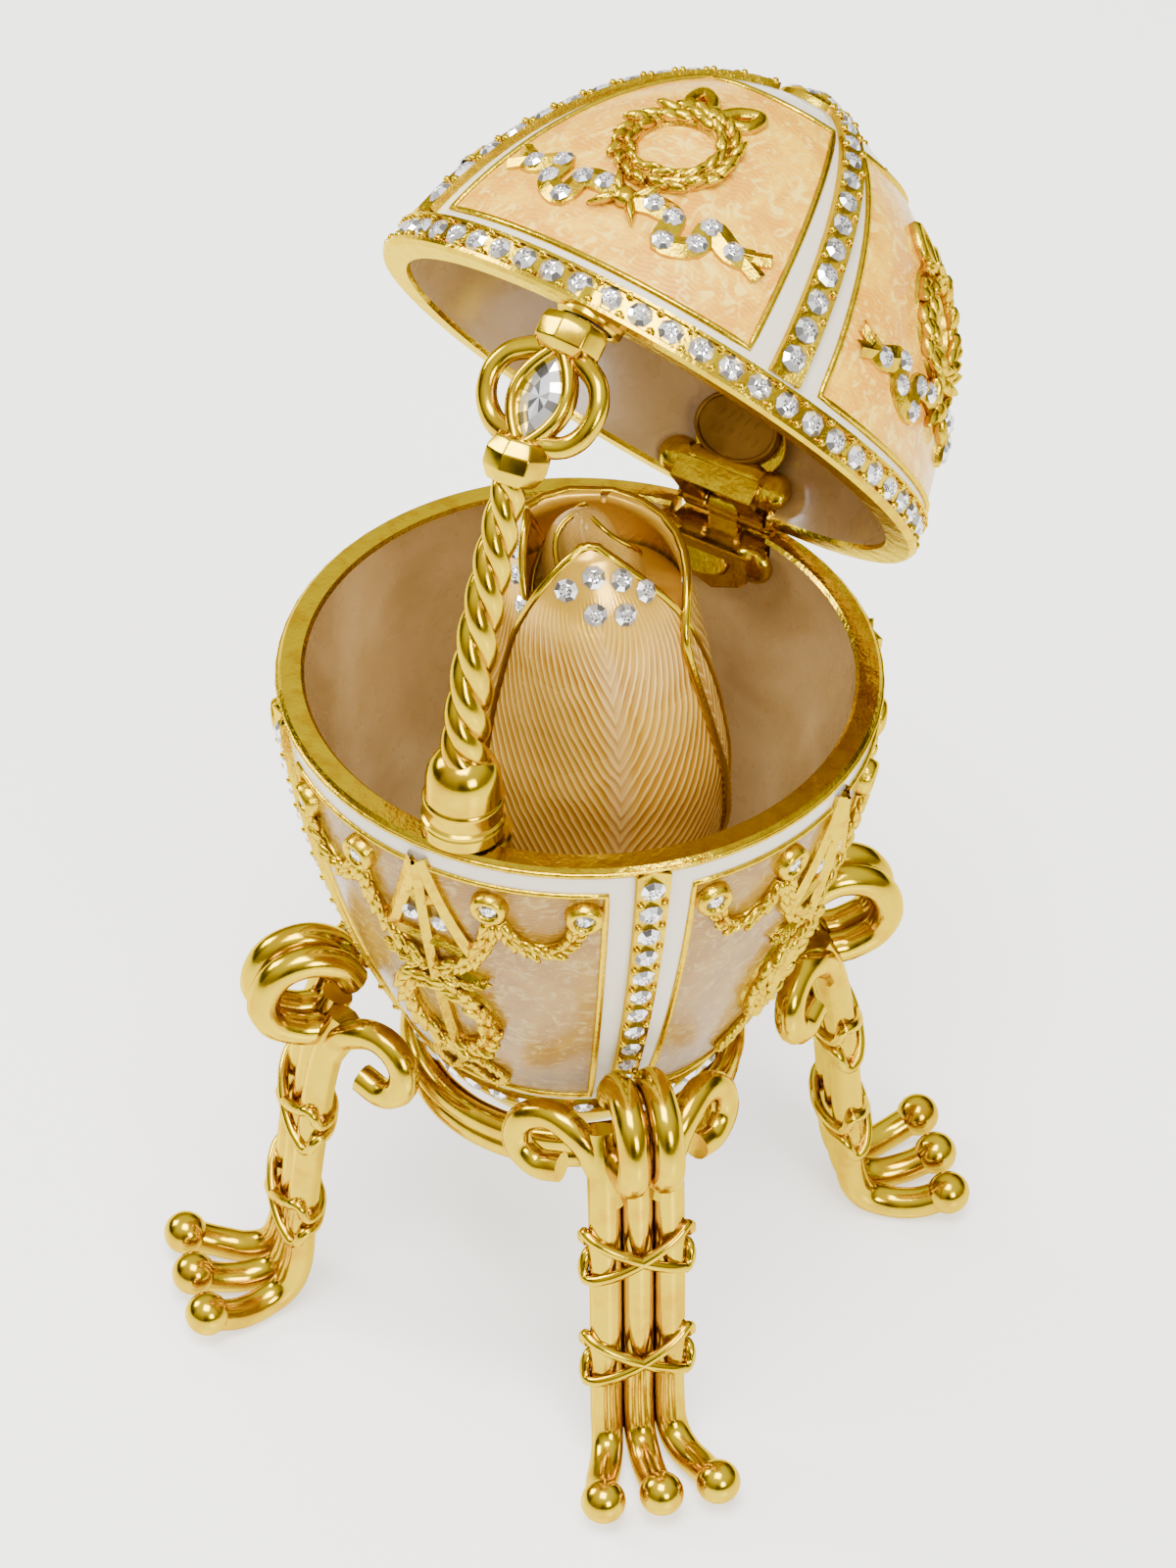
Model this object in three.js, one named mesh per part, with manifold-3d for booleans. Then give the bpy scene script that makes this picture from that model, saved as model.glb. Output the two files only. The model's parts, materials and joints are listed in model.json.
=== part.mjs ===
// Jewelled egg trinket box on a four-legged stand, with its lid held open by a loose prop rod.
// Millimetres, +Z up, +X to the right seen from the front, the hinge at the back (+Y).
// The egg stands on the axis x = 0, y = AXIS_Y, and the feet stand on z = 0.

import * as THREE from 'three';
import { mergeVertices } from 'three/addons/utils/BufferGeometryUtils.js';
import Module from 'manifold-3d';

const wasm = await Module();
wasm.setup();

// ---------------------------------------------------------------- driving dimensions
const RIM_Z = 81.2;              // floor to the flat rim of the egg's base
const BASE_R = 30;               // outside radius of the base at its rim
const BASE_DEPTH = 59;           // rim to the tip of the base
const BASE_FULLNESS = 1.35;      // exponent of the base's profile
const LID_R = 29.5;              // outside radius of the lid at its rim
const LID_HEIGHT = 34.2;         // rim plane to the apex of the lid
const LID_FULLNESS = 1.6;        // exponent of the lid's profile
const WALL = 2.6;                // cast wall of base and lid
const LID_OPEN = 55.2;           // how far the lid stands open, degrees
const CLASP_X = 3;               // the clasp and the prop sit this far right of the centre line
const AXIS_Y = -4.45;             // the egg's axis, so that the whole object is centred on y = 0
const GAP = 0.3;                 // left between pieces that touch
const AROUND = 28;               // facets round the egg

// the hinge pin, relative to the egg's axis and the rim; it was soldered in a little askew
const PIN_Y = 29.2;
const PIN_RISE = 0.56;
const PIN_YAW = -3.6;
const PIN_TILT = 3.0;
const KNUCKLE_R = 1.45;
const PIN_R = 0.6;

// ring and legs of the stand
const RING_R = 16.1;
const RING_ROD = 1.6;
const RING_Z = [29, 31.5];
const LEG_ROD = 1.65;
const LEG_PITCH = 3.35;          // spacing of the three rods side by side
const TOE_SPREAD = 6.1;
const SOLE_FLAT = 0.4;           // ground off under the feet, so that they stand flat
const LEG_NAMES = ['leg_front_right', 'leg_back_right', 'leg_back_left', 'leg_front_left'];

const radians = THREE.MathUtils.degToRad;

// ---------------------------------------------------------------- materials
const finish = (color, roughness, metalness) => new THREE.MeshStandardMaterial({ color, roughness, metalness });
const GOLD = finish(0xe8b83c, 0.15, 1.0);
const ENAMEL = finish(0xe6c9a0, 0.2, 0.1);
const CREAM = finish(0xdcc08a, 0.3, 0.4);
const ANTIQUE = finish(0x8a5a18, 0.4, 0.9);
const BLACK = finish(0x16130f, 0.4, 0.3);
const CRYSTAL = finish(0xf2f5f7, 0.05, 0.0);

// ---------------------------------------------------------------- solids
// A closed geometry with its shared vertices merged becomes a solid that can be joined and cut.
function toSolid(geometry) {
  const plain = geometry.clone();
  for (const name of ['normal', 'uv', 'uv1']) plain.deleteAttribute(name);
  const merged = mergeVertices(plain, 1e-4);
  const index = merged.index.array;
  const triangles = [];
  for (let i = 0; i < index.length; i += 3) {
    const [a, b, c] = [index[i], index[i + 1], index[i + 2]];
    if (a !== b && b !== c && c !== a) triangles.push(a, b, c);
  }
  const mesh = new wasm.Mesh({
    numProp: 3,
    vertProperties: new Float32Array(merged.attributes.position.array),
    triVerts: new Uint32Array(triangles),
  });
  mesh.merge();
  return new wasm.Manifold(mesh);
}

function toGeometry(solid) {
  const mesh = solid.getMesh();
  const geometry = new THREE.BufferGeometry();
  geometry.setAttribute('position', new THREE.BufferAttribute(new Float32Array(mesh.vertProperties), 3));
  geometry.setIndex(new THREE.BufferAttribute(new Uint32Array(mesh.triVerts), 1));
  geometry.computeVertexNormals();
  return geometry;
}

const join = (pieces) => pieces.map(toSolid).reduce((whole, piece) => whole.add(piece));

// ---------------------------------------------------------------- shape helpers
// Moves every vertex of a geometry through a function of its position.
function reshape(geometry, move) {
  const position = geometry.attributes.position;
  const vertex = new THREE.Vector3();
  for (let i = 0; i < position.count; i += 1) {
    vertex.fromBufferAttribute(position, i);
    move(vertex);
    position.setXYZ(i, vertex.x, vertex.y, vertex.z);
  }
  return geometry;
}

// Turns a profile of [radius, height] points round the z axis.
function turned(profile, segments) {
  const points = profile.map(([r, z]) => new THREE.Vector2(r, z));
  const lathe = new THREE.LatheGeometry(points, segments);
  lathe.rotateX(Math.PI / 2);
  return lathe;
}

// A rod of regular section through the given points, one ring of corners at each of them.
function rod(points, radius, sides) {
  const path = points.map((p) => new THREE.Vector3(...p));
  const geometry = new THREE.CylinderGeometry(1, 1, 1, sides, path.length - 1, false, Math.PI / 2);
  return reshape(geometry, (v) => {
    const k = Math.round((v.y + 0.5) * (path.length - 1));
    const along = new THREE.Vector3().subVectors(path[Math.min(k + 1, path.length - 1)], path[Math.max(k - 1, 0)]);
    along.normalize();
    const side = Math.abs(along.y) > 0.9 ? new THREE.Vector3(1, 0, 0) : new THREE.Vector3(0, 1, 0);
    const out = new THREE.Vector3().crossVectors(side, along).normalize();
    const across = new THREE.Vector3().crossVectors(along, out);
    const [a, b] = [v.x * radius, v.z * radius];
    v.copy(path[k]).addScaledVector(out, a).addScaledVector(across, -b);
  });
}

// A flat plate of the given outline in x and y, from z = low to z = high.
function plate(outline, low, high, hole = null) {
  const shape = new THREE.Shape(outline.map(([x, y]) => new THREE.Vector2(x, y)));
  if (hole) shape.holes.push(new THREE.Path(hole.map(([x, y]) => new THREE.Vector2(x, y))));
  const geometry = new THREE.ExtrudeGeometry(shape, { depth: high - low, bevelEnabled: false });
  geometry.translate(0, 0, low);
  return geometry;
}

function block(low, high) {
  const geometry = new THREE.BoxGeometry(high[0] - low[0], high[1] - low[1], high[2] - low[2]);
  geometry.translate((low[0] + high[0]) / 2, (low[1] + high[1]) / 2, (low[2] + high[2]) / 2);
  return geometry;
}

function ball(radius, centre, sides = 8, rows = 5) {
  const geometry = new THREE.SphereGeometry(radius, sides, rows);
  geometry.translate(...centre);
  return geometry;
}

function ellipse(width, height, count) {
  return Array.from({ length: count }, (_, k) => {
    const angle = (2 * Math.PI * k) / count;
    return [0.5 * width * Math.cos(angle), 0.5 * height * Math.sin(angle)];
  });
}

// The outline of two crossed wires.
function cross(width, height, wire) {
  const [a, b, w] = [width / 2, height / 2, wire / 2];
  const quarter = [[a, b - w], [a - w, b], [0, w]];
  const mirrored = quarter.map(([x, y]) => [-x, y]).reverse();
  const upper = [...quarter.slice(0, 3), ...mirrored.slice(1)];
  const waist = [[-w * 1.6, 0]];
  const lower = upper.map(([x, y]) => [-x, -y]);
  return [...upper, ...waist, ...lower, [w * 1.6, 0]];
}

// A marquise outline: two arcs that meet in a point at each end of the y axis.
function marquise(width, height, count) {
  const outline = [];
  for (let k = 0; k < count; k += 1) {
    const t = k / count;
    outline.push([0.5 * width * Math.sin(Math.PI * t), 0.5 * height * Math.cos(Math.PI * t)]);
  }
  for (let k = 0; k < count; k += 1) {
    const t = k / count;
    outline.push([-0.5 * width * Math.sin(Math.PI * t), -0.5 * height * Math.cos(Math.PI * t)]);
  }
  return outline;
}

// ---------------------------------------------------------------- egg surfaces
// depth is counted away from the rim plane: down for the base, up for the lid.
const surfaces = {
  base: { radius: BASE_R, depth: BASE_DEPTH, fullness: BASE_FULLNESS, sense: -1 },
  lid: { radius: LID_R, depth: LID_HEIGHT, fullness: LID_FULLNESS, sense: 1 },
};

function profileRadius(surface, depth, inset = 0) {
  const { radius, depth: reach, fullness } = surface;
  const share = Math.min(Math.max(depth, 0) / (reach - inset), 1);
  return (radius - inset) * Math.sqrt(1 - share ** fullness);
}

// Wraps a flat ornament onto the egg: x across the panel, y away from the rim, z out of the surface.
function wrap(geometry, surface, bearing) {
  return reshape(geometry, (v) => {
    const step = 0.2;
    const radius = profileRadius(surface, v.y);
    const slope = (profileRadius(surface, v.y + step) - profileRadius(surface, v.y - step)) / (2 * step);
    const length = Math.hypot(1, slope);
    const angle = radians(bearing) + (surface.sense * v.x) / Math.max(radius, 6);
    const reach = radius + v.z / length;
    const height = v.y - (v.z * slope) / length;
    v.set(reach * Math.cos(angle), reach * Math.sin(angle), surface.sense * height);
  });
}

// ---------------------------------------------------------------- egg base
const PANELS = [-90, 0, 90, 180];
const BANDS = [-45, 45, 135, 225];
const BAND_WIDTH = [3.5, 2.3];   // the stone bands, at the rim and at their far end
const HOUSING_R = 4.3;           // the clasp's housing inside the front wall
const HOUSING_Y = -25.5;

function stoneBand(surface, from, to, bearing) {
  const strip = new THREE.BoxGeometry(1, to - from, 1.3, 1, 4, 1);
  strip.translate(0, (from + to) / 2, 0.25);
  reshape(strip, (v) => {
    v.x *= THREE.MathUtils.lerp(...BAND_WIDTH, (v.y - from) / (to - from));
  });
  return wrap(strip, surface, bearing);
}

function wreath(width, height, centre, surface, bearing) {
  const profile = [[-1, -0.5], [1, -0.5], [0, 1], [-1, -0.5]].map(([r, z]) => new THREE.Vector2(3 + r, z));
  const ring = new THREE.LatheGeometry(profile, 8).rotateX(Math.PI / 2);
  reshape(ring, (v) => {
    const turn = Math.atan2(v.y, v.x);
    const across = Math.hypot(v.x, v.y) - 3;
    v.x = (0.5 * width + across) * Math.cos(turn);
    v.y = centre + (0.5 * height + across) * Math.sin(turn);
  });
  return wrap(ring, surface, bearing);
}

// A cord laid on a surface, with a ridge along its top.
function ribbon(points, width) {
  const path = points.map(([x, y]) => new THREE.Vector2(x, y));
  const geometry = new THREE.CylinderGeometry(1, 1, 1, 3, path.length - 1);
  return reshape(geometry, (v) => {
    const k = Math.round((v.y + 0.5) * (path.length - 1));
    const along = path[Math.min(k + 1, path.length - 1)].clone().sub(path[Math.max(k - 1, 0)]).normalize();
    const corner = (Math.round((3 * Math.atan2(v.x, v.z)) / (2 * Math.PI)) + 3) % 3;
    const [aside, lift] = [[0, 0.85], [-0.5 * width, -0.5], [0.5 * width, -0.5]][corner];
    v.set(path[k].x - along.y * aside, path[k].y + along.x * aside, Math.hypot(v.x, v.z) < 0.1 ? 0 : lift);
  });
}

function basePanel(bearing) {
  const flat = [];
  for (const x of [-16.6, -7.4, 7.4, 16.6]) {
    const boss = new THREE.CylinderGeometry(1.8, 1.8, 1.9, 5);
    boss.rotateX(Math.PI / 2);
    boss.translate(x, 6.4, 0.35);
    flat.push(boss);
  }
  for (const s of [-1, 1]) {
    flat.push(ribbon([[8.4 * s, 8.6], [12 * s, 12], [15.6 * s, 8.6]], 1.9));
    flat.push(ribbon([[7 * s, 8.8], [5.6 * s, 13.4], [1.2 * s, 18.4]], 1.9));
  }
  flat.push(plate([[0, 2], [4.4, 15.4], [-4.4, 15.4]], -0.5, 0.8));
  flat.push(ribbon([[0, 14.4], [0, 21], [0, 28], [0, 36]], 1.8));
  return [...flat.map((piece) => wrap(piece, surfaces.base, bearing)), wreath(9.4, 11.6, 27.4, surfaces.base, bearing)];
}

function baseShell() {
  const outer = [0, 9, 19, 29, 38, 46, 52.5, 57.4].map((d) => [profileRadius(surfaces.base, d), -d]);
  const inner = [0, 14, 28, 40, 50, 55.2].map((d) => [profileRadius(surfaces.base, d, WALL), -d]);
  const pieces = [turned([[0, -BASE_DEPTH], ...outer.reverse(), ...inner, [0, WALL - BASE_DEPTH]], AROUND)];
  for (const bearing of PANELS) pieces.push(...basePanel(bearing));
  for (const bearing of BANDS) pieces.push(stoneBand(surfaces.base, 1, 43.5, bearing));
  const housing = turned([[0, -6.5], [HOUSING_R, -6.5], [HOUSING_R, 0], [0, 0]], 12);
  const socket = turned([[0, -1], [2.8, -1], [2.8, 1], [0, 1]], 12);
  housing.translate(CLASP_X, HOUSING_Y, 0);
  socket.translate(CLASP_X, HOUSING_Y - 0.4, 0);
  pieces.push(housing);
  return join(pieces).subtract(toSolid(block([-7, 25, -3.1], [7, 33, 1]))).subtract(toSolid(socket));
}

// ---------------------------------------------------------------- egg lid
const CHANNEL_TOP = 3.9;         // the row of stones round the lid's rim lies below this height
const CHANNEL_PROUD = 0.45;
const MAGNET_R = 2.2;
const MAGNET_Y = -26.2;

function lidPanel(bearing) {
  const flat = [];
  for (const s of [-1, 1]) {
    flat.push(ribbon([[1 * s, 12.6], [5.4 * s, 11.2], [8.6 * s, 12.9], [12.4 * s, 12]], 2.3));
  }
  flat.push(plate([[0, 14.4], [-2.6, 11.6], [0, 8.6], [2.6, 11.6]], -0.5, 1.1));
  flat.push(plate([[0, 23.6], [2.9, 27.6], [-2.9, 27.6]], -0.5, 1.1));
  return [...flat.map((piece) => wrap(piece, surfaces.lid, bearing)), wreath(9.6, 8, 19.3, surfaces.lid, bearing)];
}

function lidShell() {
  const outer = [CHANNEL_TOP, 11, 17.5, 23.5, 28.5, 32.2].map((h) => [profileRadius(surfaces.lid, h), h]);
  const inner = [0, 10, 18.5, 25, 29.6].map((h) => [profileRadius(surfaces.lid, h, WALL), Math.max(h, GAP)]);
  const edge = [[LID_R, GAP], [LID_R + CHANNEL_PROUD, 0.9], [LID_R + CHANNEL_PROUD - 0.1, CHANNEL_TOP]];
  const profile = [[0, LID_HEIGHT - WALL], ...inner.reverse(), ...edge, ...outer, [0, LID_HEIGHT]];
  const pieces = [turned(profile, AROUND)];
  for (const bearing of PANELS) pieces.push(...lidPanel(bearing));
  for (const bearing of BANDS) pieces.push(stoneBand(surfaces.lid, 3.4, 32.4, bearing));
  pieces.push(ball(2.6, [0, 0, LID_HEIGHT - 1.1], 8, 3));
  const boss = turned([[0, GAP], [3.4, GAP], [3.4, 2.6], [0, 2.6]], 12);
  const seat = turned([[0, -1], [MAGNET_R + GAP, -1], [MAGNET_R + GAP, 1.9], [0, 1.9]], 12);
  boss.translate(CLASP_X, MAGNET_Y, 0);
  seat.translate(CLASP_X, MAGNET_Y, 0);
  pieces.push(boss);
  return join(pieces).subtract(toSolid(block([-7, 24.6, -1], [7, 33, 3.1]))).subtract(toSolid(seat));
}

function lidMagnet() {
  return turned([[0, -0.5], [MAGNET_R, -0.5], [MAGNET_R, 1.6], [0, 1.6]], 12).translate(CLASP_X, MAGNET_Y, 0);
}

// ---------------------------------------------------------------- hinge
// Built round the pin with the lid shut: x along the pin, y outwards, z up, the pin's axis at the origin.
const bored = (solid) => {
  const radius = PIN_R + GAP + 0.06;
  const drill = turned([[0, -9], [radius, -9], [radius, 9], [0, 9]], 8);
  return solid.subtract(toSolid(drill.rotateY(Math.PI / 2)));
};

const barrel = (from, to) => turned([[0, from], [KNUCKLE_R, from], [KNUCKLE_R, to], [0, to]], 8).rotateY(Math.PI / 2);

// A plate with its outline in x and z, from y = front to y = back.
const upright = (outline, front, back) => plate(outline, -back, -front).rotateX(Math.PI / 2);

// A plate with its outline in y and z, from x = left to x = right.
const sideways = (outline, left, right) => reshape(plate(outline, left, right), (v) => v.set(v.z, v.x, v.y));

function hingePin() {
  const head = 1.15;
  return turned([[0, -5.8], [head, -5.6], [head, -5.2], [PIN_R, -5.2], [PIN_R, 5.2], [head, 5.2],
    [head, 5.6], [0, 5.8]], 8).rotateY(Math.PI / 2);
}

function baseLeaf() {
  const shield = [[-5.4, -1.85], [-5.4, -4.6], [-3.6, -5.8], [0.8, -7.4], [4.2, -6], [5.4, -4.6], [5.4, -1.85]];
  const shelf = block([-5.4, -4.6, -2.65], [5.4, 0.4, -1.85]);
  const neck = block([-1.8, -1.3, -2.6], [1.8, 1.1, -0.9]);
  return bored(join([upright(shield, -4.7, -3.7), shelf, neck, barrel(-1.8, 1.8)]));
}

function lidLeaf() {
  const arm = [[-0.4, -0.9], [1, 0.9], [-4.1, 1.2], [-5, 1.9], [-5.9, 1.9], [-5.6, -0.6]];
  const plates = sideways(arm, -4.9, 4.9);
  const gate = toSolid(block([-2.1, -3, -2], [2.1, 3, 3]));
  const solid = toSolid(plates).subtract(gate).add(toSolid(barrel(2.1, 4.9))).add(toSolid(barrel(-4.9, -2.1)));
  return bored(solid);
}

function plaque() {
  const oval = upright(ellipse(9.8, 7.4, 14), -0.5, 0.5);
  oval.rotateX(radians(13));
  return oval.translate(-0.2, -5.9, 6.45);
}

// Sets a hinge piece on the pin's own line.
function onPin(geometry) {
  geometry.rotateY(radians(-PIN_TILT));
  geometry.rotateZ(radians(PIN_YAW));
  return geometry.translate(0, PIN_Y, PIN_RISE);
}

// ---------------------------------------------------------------- stand
// A leg is built along +x: x outwards from the egg's axis, y across the leg, z from the floor.
const LEG_LINE = [[26.6, 37.2], [28.4, 27], [30, 12.5], [30.7, 5.6], [32, 2.6], [34.2, 1.3], [37.4, 1.3], [40.8, 2.9]];
const LOOP_LINE = [[23.4, 44.2], [25.4, 47.2], [29.4, 48], [32.8, 45.2], [32.8, 40.8], [29.6, 38.6], [26.2, 40]];
const VOLUTE_LINE = [[26.8, 3.2, 36.2], [24.6, 5.6, 40.6], [21.4, 8.8, 41.4], [20.2, 11, 38], [22.4, 9, 35.4],
  [24.4, 6.8, 36.4]];
const TIE_HEIGHTS = [27, 13.5];

function legRod(offset) {
  return LEG_LINE.map(([x, z]) => {
    const splay = THREE.MathUtils.smoothstep(x, 30.5, 41) * (TOE_SPREAD - LEG_PITCH);
    return [x - Math.abs(offset) * splay * 0.1, offset * (LEG_PITCH + splay), z];
  });
}

function leg() {
  const pieces = [];
  for (const offset of [-1, 0, 1]) {
    const line = legRod(offset);
    const [x, y] = line[line.length - 1];
    pieces.push(rod(line, LEG_ROD, 5), ball(2.35, [x + 0.6, y, 3.2], 6, 4));
  }
  for (const s of [-1, 1]) {
    pieces.push(rod(LOOP_LINE.map(([x, z]) => [x, 1.7 * s, z]), LEG_ROD, 5));
    pieces.push(rod(VOLUTE_LINE.map(([x, y, z]) => [x, y * s, z]), LEG_ROD - 0.1, 5));
  }
  pieces.push(ball(2.9, [26, 0, 38.2], 6, 4));
  for (const z of TIE_HEIGHTS) {
    const front = 28.4 + (27 - z) * 0.11;
    const wires = plate(cross(11.6, 7, 1.4), 1.05, 2.3);
    pieces.push(reshape(wires, (v) => v.set(front + v.z - 0.12 * v.y, v.x, z + v.y)));
  }
  const geometry = toGeometry(join(pieces));
  geometry.computeBoundingBox();
  geometry.translate(0, 0, -geometry.boundingBox.min.z - SOLE_FLAT);
  return toGeometry(toSolid(geometry).subtract(toSolid(block([20, -20, -5], [60, 20, 0]))));
}

function standRing() {
  const half = 0.5 * (RING_Z[1] - RING_Z[0]);
  const middle = 0.5 * (RING_Z[1] + RING_Z[0]);
  const right = [[0, -half - RING_ROD], [RING_ROD, -half], [0.8, 0], [RING_ROD + 0.4, half], [0.4, half + RING_ROD]];
  const left = [[0.4 - RING_ROD, half], [-0.8, 0], [-RING_ROD, -half]];
  const section = [...right, ...left, right[0]];
  return turned(section.map(([r, z]) => [RING_R + r, middle + z]), 24);
}

// ---------------------------------------------------------------- rosebud
const BUD_PROFILE = [[3, -55.1], [3.4, -46], [3.6, -39], [6.4, -33], [9.6, -25], [11.5, -16], [12, -8], [11.2, 0],
  [9.4, 10], [7.6, 15], [5, 18.6], [3, 20.4]];

function rosebud() {
  const bud = turned([[0, -55.1], ...BUD_PROFILE, [0, 19.2]], 12);
  return reshape(bud, (v) => {
    const share = THREE.MathUtils.clamp((v.z + 39) / 60, 0, 1);
    const turn = Math.atan2(v.y, v.x);
    const fold = 1 + 0.06 * Math.sin(3 * turn + 5 * share) * Math.sin(Math.PI * share);
    const lean = Math.sin(Math.PI * THREE.MathUtils.clamp(share * 1.05, 0, 1));
    v.x = v.x * fold + 2.4 * lean;
    v.y = v.y * fold + 1.3 * lean;
  });
}

// ---------------------------------------------------------------- prop rod
// Built from the egg's axis and the rim: the foot stands on the rim over the clasp's housing.
const PROP_LINE = [[0, -26.4, 7.5], [0, -25.6, 14], [0, -23.6, 23], [0, -20.8, 31], [0, -18.2, 37.6]];

function twistedShaft() {
  const path = new THREE.CatmullRomCurve3(PROP_LINE.map((p) => new THREE.Vector3(...p)), false, 'centripetal');
  const shaft = new THREE.CylinderGeometry(1, 1, 1, 8, 10);
  return reshape(shaft, (v) => {
    const share = v.y + 0.5;
    const centre = path.getPoint(share);
    const along = path.getTangent(share);
    const across = new THREE.Vector3(1, 0, 0);
    const out = new THREE.Vector3().crossVectors(along, across);
    const turn = Math.atan2(v.z, v.x);
    const lobes = 1 + 0.1 * Math.cos(4 * turn);
    const radius = Math.hypot(v.x, v.z) * THREE.MathUtils.lerp(2.6, 1.75, share) * lobes;
    const angle = turn + share * 9;
    v.copy(centre).addScaledVector(across, radius * Math.cos(angle)).addScaledVector(out, -radius * Math.sin(angle));
  });
}

function propRod() {
  const foot = turned([[0, GAP], [4.05, GAP], [4.05, 4.6], [3.7, 5], [3.3, 7.4], [2.2, 9.6], [0, 10]], 10);
  foot.translate(0, -26.4, 0);
  const collar = turned([[0, -2.2], [2.5, -2.2], [3.2, -0.8], [3.2, 0.8], [2.6, 2.2], [0, 2.2]], 8);
  collar.rotateX(radians(-30)).translate(0, -17.3, 39.2);
  const cap = turned([[0, -1.9], [2.6, -1.9], [3.5, -0.7], [3.5, 0.7], [3.1, 1.8], [0, 1.8]], 8);
  cap.rotateX(radians(-52)).translate(0, -8.1, 47.2);
  const bezel = plate(marquise(6.2, 9.8, 6), -1.1, 1.1);
  const window = plate(marquise(4.9, 8.2, 6), -3, 3);
  const place = (geometry) => geometry.rotateX(radians(45)).translate(0, -13, 43.6);
  const straps = [];
  for (const s of [-1, 1]) {
    straps.push(rod([[1.6 * s, -15.6, 40.6], [5.4 * s, -14.2, 42], [5.6 * s, -11.6, 45], [1.8 * s, -9.4, 46.4]], 0.8, 4));
  }
  straps.push(rod([[0, -14.6, 40.2], [0, -10.4, 41.4], [0, -8.2, 45]], 0.8, 4));
  const solid = join([foot, twistedShaft(), collar, cap, ...straps, place(bezel)]);
  return solid.subtract(toSolid(place(window)));
}

function marquiseCrystal() {
  const stone = plate(marquise(4.2, 7.5, 6), -0.8, 0.8);
  return stone.rotateX(radians(45)).translate(0, -13, 43.6);
}

// ---------------------------------------------------------------- assembly
const group = new THREE.Group();

function add(name, geometry, material, place = () => {}) {
  place(geometry);
  const mesh = new THREE.Mesh(geometry, material.clone());
  mesh.name = name;
  group.add(mesh);
}

const onEgg = (geometry) => geometry.translate(0, AXIS_Y, RIM_Z);

function opened(geometry) {
  const [tilt, yaw] = [radians(PIN_TILT), radians(PIN_YAW)];
  const line = new THREE.Vector3(Math.cos(yaw) * Math.cos(tilt), Math.sin(yaw) * Math.cos(tilt), Math.sin(tilt));
  geometry.translate(0, -PIN_Y, -PIN_RISE);
  geometry.applyMatrix4(new THREE.Matrix4().makeRotationAxis(line, -radians(LID_OPEN)));
  geometry.translate(0, PIN_Y, PIN_RISE);
  return onEgg(geometry);
}

add('base_shell', toGeometry(baseShell()), ENAMEL, onEgg);
add('rosebud', toGeometry(toSolid(rosebud())), CREAM, onEgg);
add('stand_ring', toGeometry(toSolid(standRing())), GOLD, (g) => g.translate(0, AXIS_Y, 0));
LEG_NAMES.forEach((name, k) => {
  const bearing = radians(-45 + 90 * k);
  add(name, leg(), GOLD, (g) => g.rotateZ(bearing).translate(0, AXIS_Y, 0));
});
add('prop_rod', toGeometry(propRod()), GOLD, (g) => onEgg(g.translate(CLASP_X, 0, 0)));
add('marquise_crystal', toGeometry(toSolid(marquiseCrystal())), CRYSTAL, (g) => onEgg(g.translate(CLASP_X, 0, 0)));
add('base_hinge_leaf', toGeometry(baseLeaf()), GOLD, (g) => onEgg(onPin(g)));
add('hinge_pin', toGeometry(toSolid(hingePin())), GOLD, (g) => onEgg(onPin(g)));
add('lid_shell', toGeometry(lidShell()), ENAMEL, opened);
add('lid_magnet', toGeometry(toSolid(lidMagnet())), BLACK, opened);
add('lid_hinge_leaf', toGeometry(lidLeaf()), GOLD, (g) => opened(onPin(g)));
add('oval_plaque', toGeometry(toSolid(plaque())), ANTIQUE, (g) => opened(onPin(g)));

export default group;
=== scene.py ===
# %% [markdown]
# # A jewelled egg box on a gilt stand
#
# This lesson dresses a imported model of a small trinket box: an enamelled egg on four gilt legs, whose
# lid is held open by a loose prop with a magnet under its cap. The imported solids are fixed. Each step
# builds one piece of the real object over its solid, gives it a finish, and says which moving body it
# rides on.

# %% Load the frame
import json
import math

import bpy
from mathutils import Matrix, Vector

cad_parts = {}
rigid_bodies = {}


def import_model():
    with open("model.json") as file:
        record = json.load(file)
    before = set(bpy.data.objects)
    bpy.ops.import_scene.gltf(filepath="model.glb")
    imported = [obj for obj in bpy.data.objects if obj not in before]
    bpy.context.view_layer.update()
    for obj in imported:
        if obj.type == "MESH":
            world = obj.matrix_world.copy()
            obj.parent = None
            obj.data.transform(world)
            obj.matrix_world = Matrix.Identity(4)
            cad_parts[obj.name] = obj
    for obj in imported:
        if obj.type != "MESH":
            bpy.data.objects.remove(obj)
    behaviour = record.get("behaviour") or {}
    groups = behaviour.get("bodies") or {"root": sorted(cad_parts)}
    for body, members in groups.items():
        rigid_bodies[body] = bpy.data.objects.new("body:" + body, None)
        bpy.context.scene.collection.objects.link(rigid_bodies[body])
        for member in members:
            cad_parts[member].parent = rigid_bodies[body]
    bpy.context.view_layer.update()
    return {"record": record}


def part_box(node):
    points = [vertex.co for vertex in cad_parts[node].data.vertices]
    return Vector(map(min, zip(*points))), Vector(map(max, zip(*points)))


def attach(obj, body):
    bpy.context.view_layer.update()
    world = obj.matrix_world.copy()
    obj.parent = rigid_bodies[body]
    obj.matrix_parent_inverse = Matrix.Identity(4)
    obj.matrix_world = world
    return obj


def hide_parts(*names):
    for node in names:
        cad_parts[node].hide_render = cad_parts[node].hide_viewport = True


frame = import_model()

# %% [markdown]
# ## Where things are
#
# Blender works in metres, and a jeweller in millimetres, so one small constant turns one into the
# other. The egg's axis and its rim come from the frame: the stand's ring is centred on the axis, and
# the base shell ends at the rim.

# %% Axis, rim and hinge
MM = 0.001


def box_of(node):
    low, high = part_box(node)
    return Vector(low), Vector(high)


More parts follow.
